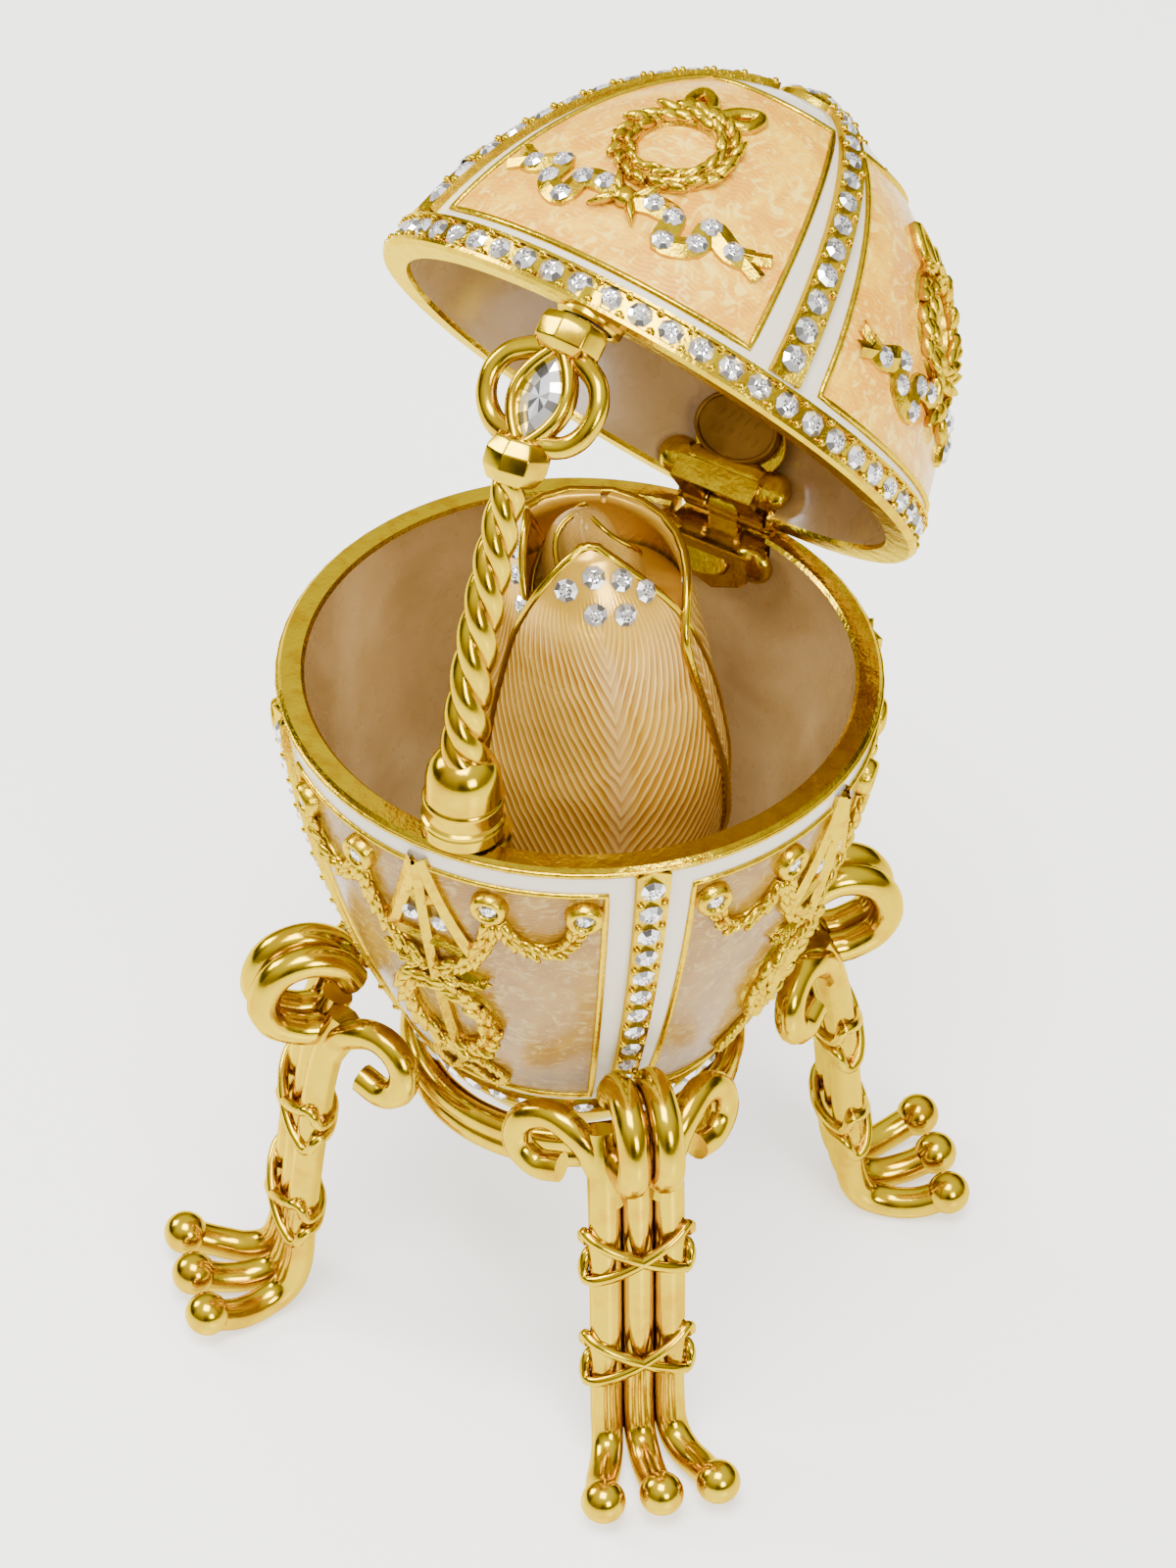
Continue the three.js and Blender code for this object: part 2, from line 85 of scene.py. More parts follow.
ring_low, ring_high = box_of("stand_ring")
RIM = box_of("base_shell")[1].z
AXIS = Vector((0, 0.5 * (ring_low.y + ring_high.y), 0))
CLASP_X = 3 * MM
hinge = frame["record"]["behaviour"]["joints"][0]
PIN = Vector(hinge["pos_m"])
PIN_LINE = Vector(hinge["axis"]).normalized()
LID_OPEN = math.radians(55.2)
OPENING = Matrix.Translation(PIN) @ Matrix.Rotation(LID_OPEN, 4, PIN_LINE) @ Matrix.Translation(-PIN)
print("rim at", round(RIM / MM, 2), "mm, axis at y =", round(AXIS.y / MM, 2), "mm")

# %% [markdown]
# ## The egg's outline
#
# Base and lid are two halves of different roundness. Each has one formula for its radius at a depth,
# counted away from the rim: down for the base, up for the lid. Every ornament is drawn flat, with x
# across its panel, y away from the rim and z out of the enamel, and is then laid on the egg by the
# same formula, as a goldsmith bends a flat strip round a former.

# %% Outline and laying on
HALVES = {
    "base": {"radius": 30 * MM, "reach": 59 * MM, "fullness": 1.35, "sense": -1},
    "lid": {"radius": 29.5 * MM, "reach": 34.2 * MM, "fullness": 1.6, "sense": 1},
}
WALL = 2.6 * MM
QUARTERS = (-90, 0, 90, 180)
SEAMS = (-45, 45, 135, 225)


def egg_radius(half, depth, inset=0.0):
    shape = HALVES[half]
    share = min(max(depth, 0) / (shape["reach"] - inset), 1)
    return (shape["radius"] - inset) * math.sqrt(1 - share ** shape["fullness"])


def egg_slope(half, depth):
    step = 0.2 * MM
    return (egg_radius(half, depth + step) - egg_radius(half, depth - step)) / (2 * step)


def egg_place(half, bearing, across, depth, out=0.0):
    """A point on the egg, or out mm above it, as a matrix: x across, y away from the rim, z outwards."""
    sense = HALVES[half]["sense"]
    radius, slope = egg_radius(half, depth), egg_slope(half, depth)
    length = math.hypot(1, slope)
    angle = math.radians(bearing) + sense * across / max(radius, 6 * MM)
    outward = Vector((math.cos(angle), math.sin(angle), 0))
    normal = (outward - Vector((0, 0, sense * slope))) / length
    along = (outward * slope + Vector((0, 0, sense))) / length
    point = AXIS + outward * radius + Vector((0, 0, RIM + sense * depth)) + normal * out
    side = along.cross(normal)
    return Matrix.Translation(point) @ Matrix((side, along, normal)).transposed().to_4x4()


def depth_at(half, distance):
    """The depth reached by walking a distance over the egg from its rim."""
    depth, step = 0.0, 0.05 * MM
    while distance > 0:
        distance -= step * math.hypot(1, min(abs(egg_slope(half, depth)), 30))
        depth += step
    return depth


print("20 mm over the lid reaches a height of", round(depth_at("lid", 20 * MM) / MM, 1), "mm")

# %% [markdown]
# ## A few hand movements
#
# Most pieces start in one of four ways: a profile that is turned like wood on a lathe, a rod bent
# along a line, a block, or a ball. Blender's operators act on all that is selected, so everything is
# deselected first.

# %% Selecting and joining
def nothing_selected():
    if bpy.context.object and bpy.context.object.mode != "OBJECT":
        bpy.ops.object.mode_set(mode="OBJECT")
    bpy.ops.object.select_all(action="DESELECT")


def picked(obj):
    nothing_selected()
    obj.select_set(True)
    bpy.context.view_layer.objects.active = obj
    return obj


def settle(obj):
    """Put an object's place into its mesh, so that the object sits at the origin."""
    picked(obj)
    bpy.ops.object.transform_apply(location=True, rotation=True, scale=True)
    return obj


def joined(name, parts):
    nothing_selected()
    for part in parts:
        part.select_set(True)
    bpy.context.view_layer.objects.active = parts[0]
    if len(parts) > 1:
        bpy.ops.object.join()
    piece = settle(bpy.context.object)
    piece.name = name.replace(" ", "_")
    return piece


def copies(master, places):
    """Copy a finished shape, with its own mesh, to each place, and take the first one away."""
    made = []
    for place in places:
        twin = master.copy()
        twin.data = master.data.copy()
        bpy.context.collection.objects.link(twin)
        twin.matrix_world = place @ master.matrix_world
        made.append(twin)
    bpy.data.objects.remove(master)
    return made


def smoothed(obj, angle=35):
    picked(obj)
    bpy.ops.object.shade_smooth_by_angle(angle=math.radians(angle))
    return obj


def modified(obj, kind, **values):
    """Add a modifier, set its values and apply it."""
    picked(obj)
    modifier = obj.modifiers.new(kind.lower(), kind)
    for key, value in values.items():
        setattr(modifier, key, value)
    bpy.ops.object.modifier_apply(modifier=modifier.name)
    return obj


def bevelled(obj, width, segments=2, angle=40):
    return modified(obj, "BEVEL", width=width, segments=segments, angle_limit=math.radians(angle))


print("ready: pick, settle, join, copy, smooth, modify and bevel")


# %% [markdown]
# A turned piece is drawn as by hand: one vertex is extruded from point to point along the profile,
# and the line is spun round the axis. The seam is closed by merging doubles, and then the faces are
# made to point outwards.

# %% Turning
def turned(profile, steps=48, centre=(0.0, 0.0)):
    nothing_selected()
    start = (centre[0] + profile[0][0], centre[1], profile[0][1])
    bpy.ops.mesh.primitive_plane_add(size=MM, location=start)
    bpy.ops.object.mode_set(mode="EDIT")
    bpy.ops.mesh.merge(type="CENTER")
    for (r0, z0), (r1, z1) in zip(profile, profile[1:]):
        bpy.ops.mesh.extrude_region_move(TRANSFORM_OT_translate={"value": (r1 - r0, 0, z1 - z0)})
    bpy.ops.mesh.select_all(action="SELECT")
    bpy.ops.mesh.spin(steps=steps, angle=math.tau, center=(*centre, 0), axis=(0, 0, 1))
    bpy.ops.mesh.select_all(action="SELECT")
    bpy.ops.mesh.remove_doubles(threshold=1e-6)
    bpy.ops.mesh.normals_make_consistent(inside=False)
    bpy.ops.object.mode_set(mode="OBJECT")
    return settle(bpy.context.object)


print("a line of points can be spun into a closed, turned piece")

# %% [markdown]
# A bent rod is a curve with a round section. Its points are given one by one and the handles are
# automatic, so the rod runs smoothly through them. It is made a mesh at once.

# %% Bending rods
def rod(points, radii, smoothness=4, sides=3, ring=False):
    nothing_selected()
    bpy.ops.curve.primitive_bezier_curve_add()
    obj = bpy.context.object
    obj.data.splines.clear()
    spline = obj.data.splines.new("BEZIER")
    spline.bezier_points.add(len(points) - 1)
    radii = radii if isinstance(radii, (list, tuple)) else [radii] * len(points)
    for knot, point, radius in zip(spline.bezier_points, points, radii):
        knot.co = point
        knot.handle_left_type = knot.handle_right_type = "AUTO"
        knot.radius = radius / MM
    spline.use_cyclic_u = ring
    obj.data.dimensions = "3D"
    obj.data.resolution_u = smoothness
    obj.data.bevel_depth = MM
    obj.data.bevel_resolution = sides
    obj.data.use_fill_caps = not ring
    bpy.ops.object.convert(target="MESH")
    obj = settle(bpy.context.object)
    return smoothed(obj, 60)


def ball(radius, centre, segments=16, rings=10, stretch=(1, 1, 1)):
    nothing_selected()
    bpy.ops.mesh.primitive_uv_sphere_add(segments=segments, ring_count=rings, radius=radius, location=centre)
    bpy.context.object.scale = stretch
    return smoothed(settle(bpy.context.object), 80)


print("rods and balls are ready")

# %% [markdown]
# Plates are extruded outlines. A filled circle primitive gives the right number of corners, and code
# moves each corner to its place on the outline before the face is extruded.

# %% Plates and moving vertices
def plate(outline, low, high):
    nothing_selected()
    bpy.ops.mesh.primitive_circle_add(vertices=len(outline), radius=MM, fill_type="NGON")
    obj = bpy.context.object
    for vertex, (x, y) in zip(obj.data.vertices, outline):
        vertex.co = (x, y, low)
    bpy.ops.object.mode_set(mode="EDIT")
    bpy.ops.mesh.select_all(action="SELECT")
    bpy.ops.mesh.extrude_region_move(TRANSFORM_OT_translate={"value": (0, 0, high - low)})
    bpy.ops.mesh.select_all(action="SELECT")
    bpy.ops.mesh.normals_make_consistent(inside=False)
    bpy.ops.object.mode_set(mode="OBJECT")
    return settle(obj)


def move_each(obj, place):
    for vertex in obj.data.vertices:
        vertex.co = place(vertex.co)
    return obj


def laid(obj, half, bearing):
    return move_each(obj, lambda p: egg_place(half, bearing, p.x, p.y, p.z).translation)


print("a flat shape can be laid on the egg at any bearing")

# %% [markdown]
# ## Finishes
#
# A finish is a small tree of shader nodes. Placed by hand, such a tree is hard to read and to change.
# A small class wraps a node's socket instead, so that shader maths reads like sums.

# %% A wire
class Wire:
    def __init__(self, finish, socket):
        self.finish, self.socket = finish, socket

    def do(self, operation, *others):
        return self.finish.add("ShaderNodeMath", {"operation": operation}, dict(enumerate((self, *others))))

    def __add__(self, other):
        return self.do("ADD", other)

    def __sub__(self, other):
        return self.do("SUBTRACT", other)

    def __mul__(self, other):
        return self.do("MULTIPLY", other)

    def __truediv__(self, other):
        return self.do("DIVIDE", other)

    def __gt__(self, other):
        return self.do("GREATER_THAN", other)

    def __lt__(self, other):
        return self.do("LESS_THAN", other)

    def __rsub__(self, other):
        return self.finish.add("ShaderNodeMath", {"operation": "SUBTRACT"}, {0: other, 1: self})

    __radd__, __rmul__ = __add__, __mul__

    def between(self, low, high):
        """0 at low, 1 at high, smooth in between."""
        settings = {"interpolation_type": "SMOOTHSTEP"}
        return self.finish.add("ShaderNodeMapRange", settings, {0: self, 1: low, 2: high})


print("a wire takes the signs + - * / > and <")

# %% [markdown]
# A finish starts with the Principled shader, which describes enamel, gold and glass alike. Values that
# are the same all over are set on its own sockets. Every other node comes from one method, which takes
# the node's type, its settings and its inputs.

# %% A finish
class Finish:
    def __init__(self, name, **values):
        self.material = bpy.data.materials.new(name)
        self.material.use_nodes = True
        self.tree = self.material.node_tree
        self.shader = self.tree.nodes["Principled BSDF"]
        self.set(**values)
        self.place = self.add("ShaderNodeTexCoord", output="Object")

    def set(self, **values):
        for key, value in values.items():
            self.plug(self.shader.inputs[key.replace("_", " ")], value)

    def plug(self, socket, value):
        if isinstance(value, Wire):
            self.tree.links.new(value.socket, socket)
        elif isinstance(value, tuple) and len(value) == 3 and socket.type == "RGBA":
            socket.default_value = (*value, 1)
        else:
            socket.default_value = value

    def add(self, kind, settings=None, inputs=None, output=0):
        node = self.tree.nodes.new(kind)
        for key, value in (settings or {}).items():
            if key == "stops":
                self.set_stops(node, value)
            else:
                setattr(node, key, value)
        for key, value in (inputs or {}).items():
            self.plug(node.inputs[key], value)
        return Wire(self, node.outputs[output])

    @staticmethod
    def set_stops(node, stops):
        ramp = node.color_ramp
        for _ in range(len(stops) - len(ramp.elements)):
            ramp.elements.new(0.5)
        for element, (position, color) in zip(ramp.elements, stops):
            element.position, element.color = position, (*color, 1)

    def mix(self, share, a, b):
        return self.add("ShaderNodeMix", {"data_type": "RGBA"}, {0: share, 6: a, 7: b}, output=2)

    def noise(self, scale, detail=3.0, place=None, distortion=0.0):
        inputs = {"Vector": place or self.place, "Scale": scale, "Detail": detail, "Distortion": distortion}
        return self.add("ShaderNodeTexNoise", {}, inputs)

    def bump(self, height, strength, distance):
        inputs = {"Height": height, "Strength": strength, "Distance": distance}
        self.set(Normal=self.add("ShaderNodeBump", {}, inputs))


print("a finish is Principled, with mix, noise and bump to vary it")

# %% [markdown]
# The gilding is thin bright gold over a cast alloy. It is a metal with a warm yellow colour that turns
# amber where the casting is rough. A fine noise gives the soft waves of hand polishing, and a
# second, coarser one the skin of the casting.

# %% Gold
GOLD = (0.56, 0.39, 0.001)
AMBER = (0.48, 0.285, 0.001)
GOLD_EDGE = (1.0, 0.85, 0.05)


def gold_finish(name, grain, depth, roughness=0.12):
    gold = Finish(name, Metallic=1.0, Specular_Tint=GOLD_EDGE)
    waves = gold.noise(grain, 4)
    specks = gold.noise(grain * 5, 2)
    gold.set(Base_Color=gold.mix(waves.between(0.30, 0.55), AMBER, GOLD))
    gold.set(Roughness=roughness + 0.1 * specks)
    gold.bump(waves + 0.3 * specks, 0.5, depth)
    return gold.material


polished_gold = gold_finish("polished gold", 260, 0.05 * MM)
cast_gold = gold_finish("cast gold", 900, 0.18 * MM, 0.17)
hammered_gold = gold_finish("hammered gold", 520, 0.22 * MM, 0.13)
print("finishes so far:", [m.name for m in (polished_gold, cast_gold, hammered_gold)])

# %% [markdown]
# ## The enamel
#
# The panels are pearly peach enamel over an engraved ground: fine wavy lines show through, and the
# colour is marbled. Between the panels runs plain white enamel. Both lie on one turned shell, so one
# finish paints them by place: the angle from the nearest panel's middle and the height above or below
# the rim. The lid was finished shut and opened afterwards, so a Mapping node turns its pattern back.

# %% Panel enamel
# The one enamel gets two sets of tints: the lid's are lighter, as painted light on the upper half, and the
# base's darker, as painted shade on the lower half.
LIT_LID_TINTS = (0.72, 0.29, 0.001), (0.92, 0.50, 0.01), (0.97, 0.72, 0.12)
SHADED_BASE_TINTS = (0.25, 0.115, 0.001), (0.31, 0.165, 0.007), (0.44, 0.30, 0.08)
WHITE = (0.70, 0.64, 0.50)
PANEL_HALF = math.radians(36.5)


def shut_place(finish, is_open):
    if not is_open:
        return finish.place
    back = OPENING.inverted()
    inputs = {"Vector": finish.place, "Location": back.translation, "Rotation": back.to_euler()}
    return finish.add("ShaderNodeMapping", {"vector_type": "POINT"}, inputs)


def split(finish, vector):
    parts = finish.add("ShaderNodeSeparateXYZ", {}, {"Vector": vector})
    node = parts.socket.node
    return [Wire(finish, node.outputs[k]) for k in range(3)]


def panel_enamel(name, is_open, near, far, tints):
    peach, blush, pearl = tints
    enamel = Finish(name, Coat_Weight=0.12, Coat_Roughness=0.05, Specular_IOR_Level=0.2)
    place = shut_place(enamel, is_open)
    x, y, z = split(enamel, place)
    turn = (y - AXIS.y).do("ARCTAN2", x)
    aside = turn.do("PINGPONG", math.radians(45))
    depth = (z - RIM) if is_open else (RIM - z)
    on_panel = (aside < PANEL_HALF) * (depth > near) * (depth < far)
    marble = enamel.noise(150, 5, place, 1.2)
    veins = enamel.noise(420, 3, place, 2.5)
    sway = (aside * 60 + marble * 7).do("SINE")
    lines = ((depth * (math.tau / (0.5 * MM)) + sway * 2.2).do("SINE") + 1) * 0.5
    streaks = enamel.noise(260, 6, place, 4)
    pearly = enamel.mix(marble.between(0.38, 0.62), peach, blush)
    pearly = enamel.mix(streaks.between(0.45, 0.65) * 0.55, pearly, peach)
    pearly = enamel.mix(veins.between(0.50, 0.66) * 0.75, pearly, pearl)
    pearly = enamel.mix(lines * 0.16, pearly, pearl)
    enamel.set(Base_Color=enamel.mix(on_panel, WHITE, pearly))
    enamel.set(Roughness=0.18 + 0.14 * on_panel * veins)
    enamel.bump(on_panel * (lines * 0.4 + marble * 2), 0.35, 0.12 * MM)
    return enamel.material


PANEL_TOP, PANEL_FOOT = 3.6 * MM, 41.5 * MM
LID_PANEL_FOOT, LID_PANEL_TOP = 5 * MM, 30.5 * MM
# The base takes the darker tints as painted shade, and the lid the lighter ones as painted light.
shaded_base_enamel = panel_enamel("peach enamel with painted shade on the base", False, PANEL_TOP, PANEL_FOOT, SHADED_BASE_TINTS)
lit_lid_enamel = panel_enamel("peach enamel with painted light on the lid", True, LID_PANEL_FOOT, LID_PANEL_TOP, LIT_LID_TINTS)
print("enamels:", shaded_base_enamel.name, "and", lit_lid_enamel.name)

# %% [markdown]
# Inside, both halves are lined with a plain greige enamel with a pearly sheen. It is brushed on and
# fired, so it is a little cloudy.

# %% Lining enamel
def lining_enamel():
    lining = Finish("greige lining enamel", Coat_Weight=0.25, Coat_Roughness=0.1)
    clouds = lining.noise(90, 4, distortion=0.8)
    brush = lining.noise(380, 2)
    lining.set(Base_Color=lining.mix(clouds.between(0.3, 0.7), (0.38, 0.235, 0.075), (0.50, 0.33, 0.13)))
    lining.set(Roughness=0.22 + 0.12 * brush)
    lining.bump(clouds + 0.3 * brush, 0.3, 0.15 * MM)
    return lining.material


lining = lining_enamel()
print("inside:", lining.name)

# %% [markdown]
# ## Painting, cutting and riding
#
# A shell has three finishes, so each face gets its own by place. The notch for the hinge is cut with a
# Boolean, because its walls are straight where the egg is round. A finished piece is given its
# material and name, and rides on one of the two bodies in place of its solid.

# %% Painting, cutting and riding
def paint(obj, finishes, choose):
    """Give each face one of the finishes, by the place of its middle."""
    for finish in finishes:
        obj.data.materials.append(finish)
    for face in obj.data.polygons:
        face.material_index = choose(face.center)


def ride(obj, body, *nodes, finish=None, name=None, slot="polished_gold"):
    if finish:
        obj.data.materials.clear()
        obj.data.materials.append(finish)
    if name:
        obj.name = name
    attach(obj, body)
    for node in nodes:
        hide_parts(node)
    return obj


def curved_profile(half, depths, inset=0.0):
    sense = HALVES[half]["sense"]
    return [(egg_radius(half, d, inset), RIM + sense * d) for d in depths]


def turned_on_axis(profile, steps=160):
    return turned(profile, steps, (AXIS.x, AXIS.y))


def in_open_notch(p, half_width=6.6 * MM):
    return abs(p.x) < half_width and p.y > AXIS.y + 25 * MM


def cut_box(obj, low, high):
    """Cut a box out of a shell with a Boolean modifier."""
    nothing_selected()
    bpy.ops.mesh.primitive_cube_add(size=1, location=(Vector(low) + Vector(high)) / 2)
    tool = bpy.context.object
    tool.scale = Vector(high) - Vector(low)
    modified(obj, "BOOLEAN", object=settle(tool), operation="DIFFERENCE", solver="EXACT")
    bpy.data.objects.remove(tool)


NOTCH = 5.6 * MM
print("the hinge's notch is", round(2 * NOTCH / MM, 1), "mm wide")

# %% [markdown]
# ## The base shell
#
# The base is a turned cup with a thick rim. Its solid has the same outline, so the radius formula is
# used again with many more points. Afterwards the faces get their finish by place: hammered gold on
# the rim, lining inside, enamel outside.

# %% Base shell
RIM_LIP = 0.35 * MM
outside = [0.6 * MM + 58.3 * MM * (k / 40) ** 0.9 for k in range(41)]
inside = [1.2 * MM + 55 * MM * (k / 36) ** 0.9 for k in range(37)]
cup = [(0, RIM - 59 * MM)] + curved_profile("base", reversed(outside))
cup += [(30 * MM, RIM - RIM_LIP), (29.7 * MM, RIM), (27.7 * MM, RIM), (27.35 * MM, RIM - RIM_LIP)]
cup += curved_profile("base", inside, WALL) + [(0, RIM - 59 * MM + WALL)]
base_shell = turned_on_axis(cup)
cut_box(base_shell, (-NOTCH, AXIS.y + 25 * MM, RIM - 3.1 * MM), (NOTCH, AXIS.y + 33 * MM, RIM + MM))


def base_zone(middle):
    radius = math.hypot(middle.x - AXIS.x, middle.y - AXIS.y)
    depth = RIM - middle.z
    if depth < 0.5 * MM or in_open_notch(middle) and depth < 3.2 * MM or depth > 42.4 * MM:
        return 0
    return 1 if radius < egg_radius("base", depth) - 1.4 * MM else 2


paint(base_shell, (hammered_gold, lining, shaded_base_enamel), base_zone)
ride(smoothed(base_shell, 40), "base", "base_shell", name="enamelled_base", slot="peach_enamel")
print("base shell:", len(base_shell.data.polygons), "faces")

# %% [markdown]
# ## The lid shell
#
# The lid is turned in the same way, shut over the base, with the ledge for its row of stones. It is
# then swung open about the hinge's own line, and its place is put into the mesh. Everything that
# belongs to the lid goes through the same hand movement.

# %% Lid shell
def opened(obj):
    obj.matrix_world = OPENING @ obj.matrix_world
    return settle(obj)


LID_GAP = 0.3 * MM
LEDGE = 3.9 * MM
outside = [LEDGE + 30.2 * MM * math.sin(math.pi / 2 * k / 34) for k in range(35)]
inside = [0.8 * MM + 30.7 * MM * math.sin(math.pi / 2 * k / 30) for k in range(31)]
dome = [(0, RIM + 34.2 * MM - WALL)] + curved_profile("lid", reversed(inside), WALL)
dome += [(27.0 * MM, RIM + LID_GAP), (29.6 * MM, RIM + LID_GAP), (29.95 * MM, RIM + 0.7 * MM)]
dome += [(29.95 * MM, RIM + 1.1 * MM), (29.3 * MM, RIM + 1.3 * MM), (29.2 * MM, RIM + 3.5 * MM)]
dome += [(29.75 * MM, RIM + 3.6 * MM), (29.7 * MM, RIM + LEDGE)]
dome += curved_profile("lid", outside) + [(0, RIM + 34.2 * MM)]
lid_shell = turned_on_axis(dome)
cut_box(lid_shell, (-NOTCH, AXIS.y + 24.6 * MM, RIM - MM), (NOTCH, AXIS.y + 33 * MM, RIM + 3.1 * MM))


def lid_zone(middle):
    radius = math.hypot(middle.x - AXIS.x, middle.y - AXIS.y)
    height = middle.z - RIM
    on_ledge = radius > 28.8 * MM and height < 4.0 * MM
    if height < 0.6 * MM or on_ledge or in_open_notch(middle) and height < 3.2 * MM:
        return 0
    return 1 if radius < egg_radius("lid", height) - 1.4 * MM else 2


paint(lid_shell, (hammered_gold, lining, lit_lid_enamel), lid_zone)
ride(opened(smoothed(lid_shell, 40)), "lid", "lid_shell", name="enamelled_lid", slot="peach_enamel")
print("lid shell:", len(lid_shell.data.polygons), "faces")

# %% [markdown]
# ## Crystals
#
# A round crystal is a small foil-backed brilliant: a clear top over a mirror cup. The glass is clear by
# plain values on the shader. Each foil facet gets its own painted reflection, a brightness stored on
# its face for the corner of the room a real one would mirror, and the bright facets glow a little as
# painted glints.

# %% Crystal and foil finishes
def crystal_glass():
    glass = Finish("clear crystal", Base_Color=(0.4, 0.4, 0.4), Roughness=0.0, IOR=1.55, Alpha=0.14)
    glass.set(Coat_Weight=1.0, Coat_Roughness=0.0)
    return glass.material


def foil_finish():
    foil = Finish("silver foil with painted glints", Metallic=1.0, Roughness=0.08)
    # The foil's colour is painted reflection: each facet's stored value picks a tone from near black to white,
    # and the same tone glows a little as painted glint.
    flash = foil.add("ShaderNodeAttribute", {"attribute_type": "GEOMETRY", "attribute_name": "flash"}, {}, "Fac")
    stops = [(0.0, (0.012, 0.010, 0.008)), (0.25, (0.22, 0.21, 0.19)), (0.5, (0.9, 0.9, 0.91)),
             (1.0, (1, 1, 1))]
    painted_glint = foil.add("ShaderNodeValToRGB", {"stops": stops}, {"Fac": flash})
    foil.set(Base_Color=painted_glint, Emission_Color=painted_glint, Emission_Strength=0.45)
    return foil.material


clear_crystal, foil_back = crystal_glass(), foil_finish()
print("crystal finishes:", clear_crystal.name, "over", foil_back.name)

# %% [markdown]
# The foil is a cut cone with a table and a ring of facets, and the clear top is a plainer one over it.
# Hundreds of stones are needed, so one master of a few dozen faces is modelled and copied.

# %% One brilliant
def face_values(obj, name, value):
    layer = obj.data.attributes.new(name, "FLOAT", "FACE")
    for face in obj.data.polygons:
        layer.data[face.index].value = value(face)


def face_select(obj, wanted):
    """Select the faces that are wanted, by their place or normal, and stay in edit mode."""
    bpy.ops.object.mode_set(mode="EDIT")
    bpy.ops.mesh.select_all(action="DESELECT")
    bpy.ops.object.mode_set(mode="OBJECT")
    for face in obj.data.polygons:
        face.select = wanted(face)
    bpy.ops.object.mode_set(mode="EDIT")


def eight_sided(radius, table, height):
    nothing_selected()
    bpy.ops.mesh.primitive_cone_add(vertices=8, radius1=radius, radius2=table * radius, depth=height,
                                    location=(0, 0, 0.5 * height), end_fill_type="NGON")
    return bpy.context.object


def foiled(obj):
    """Give each facet its own painted reflection, a stored brightness, and the foil as its finish."""
    face_values(obj, "flash", lambda face: ((face.index * 7 + 3) % 11) / 10)
    obj.data.materials.append(foil_back)
    return obj


def crystal(radius):
    """One brilliant, z up, its girdle on z = 0: a ring of facets round a table, under a clear top."""
    height = 0.34 * radius
    obj = eight_sided(radius, 0.6, height)
    top = max(obj.data.polygons, key=lambda face: face.center.z).index
    face_select(obj, lambda face: face.index == top)
    bpy.ops.mesh.inset(thickness=0.3 * radius, depth=0)
    bpy.ops.mesh.poke()
    face_select(obj, lambda face: 0.2 * height < face.center.z < 0.8 * height)
    bpy.ops.mesh.poke(offset=0.05 * radius)
    bpy.ops.object.mode_set(mode="OBJECT")
    foiled(settle(obj)).data.transform(Matrix.Diagonal((0.93, 0.93, 0.8, 1)))
    crown = settle(eight_sided(radius, 0.58, height))
    crown.data.materials.append(clear_crystal)
    return joined("brilliant", [obj, crown])


print("a brilliant is two eight-sided cut cones, one in the other")

# %% [markdown]
# A stone's setting is a place and a radius. Neighbours are turned against each other, so that no two
# flash alike. The little gold beads that hold them are balls of very few faces.

# %% Setting stones and beads
def set_stones(name, body, settings):
    """settings is a list of (matrix, radius); the stones turn a little from one to the next."""
    stones = []
    master = crystal(MM)
    for k, (place, radius) in enumerate(settings):
        size = Matrix.Diagonal((radius / MM, radius / MM, radius / MM, 1))
        stones.append(place @ Matrix.Rotation(k * 1.1, 4, "Z") @ size)
    piece = joined(name, copies(master, stones))
    print(piece.name, "has", len(settings), "stones")
    return ride(opened(piece) if body == "lid" else piece, body, slot="crystal")


def beads(name, body, places, radius):
    piece = joined(name, copies(ball(radius, (0, 0, 0), 6, 4), places))
    print(piece.name, "has", len(places), "beads")
    return ride(opened(piece) if body == "lid" else piece, body, finish=polished_gold)


# %% [markdown]
# The row round the lid's rim sits in the ledge, and a pair of gold beads holds each stone on each
# side.

# %% Stones round the lid's rim
RIM_STONES = 56
rim_settings, rim_beads = [], []
for k in range(RIM_STONES):
    bearing = 360 * (k + 0.5) / RIM_STONES
    rim_settings.append((egg_place("lid", bearing, 0, 2.45 * MM), 1.35 * MM))
    for height in (1.35, 3.5):
        rim_beads.append(egg_place("lid", bearing + 180 / RIM_STONES, 0, height * MM, 0.25 * MM))
rim_settings = [s for s in rim_settings if not in_open_notch(s[0].translation, 5 * MM)]
rim_beads = [p for p in rim_beads if not in_open_notch(p.translation, 6 * MM)]
set_stones("rim stones", "lid", rim_settings)
beads("rim beads", "lid", rim_beads, 0.5 * MM)

# %% [markdown]
# ## Stone bands
#
# Down each seam between two panels runs a narrow gold channel that tapers towards the end of the egg,
# with a row of stones in it. The channel is a block drawn flat, narrowed and laid on the egg.

# %% Stone bands on base and lid
BAND_STONES = 12


def channel(half, bearing, start, end, widths):
    nothing_selected()
    bpy.ops.mesh.primitive_grid_add(x_subdivisions=4, y_subdivisions=40, size=1)
    obj = bpy.context.object
    heights = (-0.6, 0.85, 0.25, 0.85, -0.6)
    for vertex in obj.data.vertices:
        share = vertex.co.y + 0.5
        column = round((vertex.co.x + 0.5) * 4)
        width = widths[0] + (widths[1] - widths[0]) * share
        across = (-0.5, -0.5, 0, 0.5, 0.5)[column] * width
        if column in (1, 3):
            across *= 0.94
        vertex.co = (across, depth_at(half, start + (end - start) * share), heights[column] * MM)
    return modified(laid(obj, half, bearing), "SOLIDIFY", thickness=0.3 * MM, offset=-1)


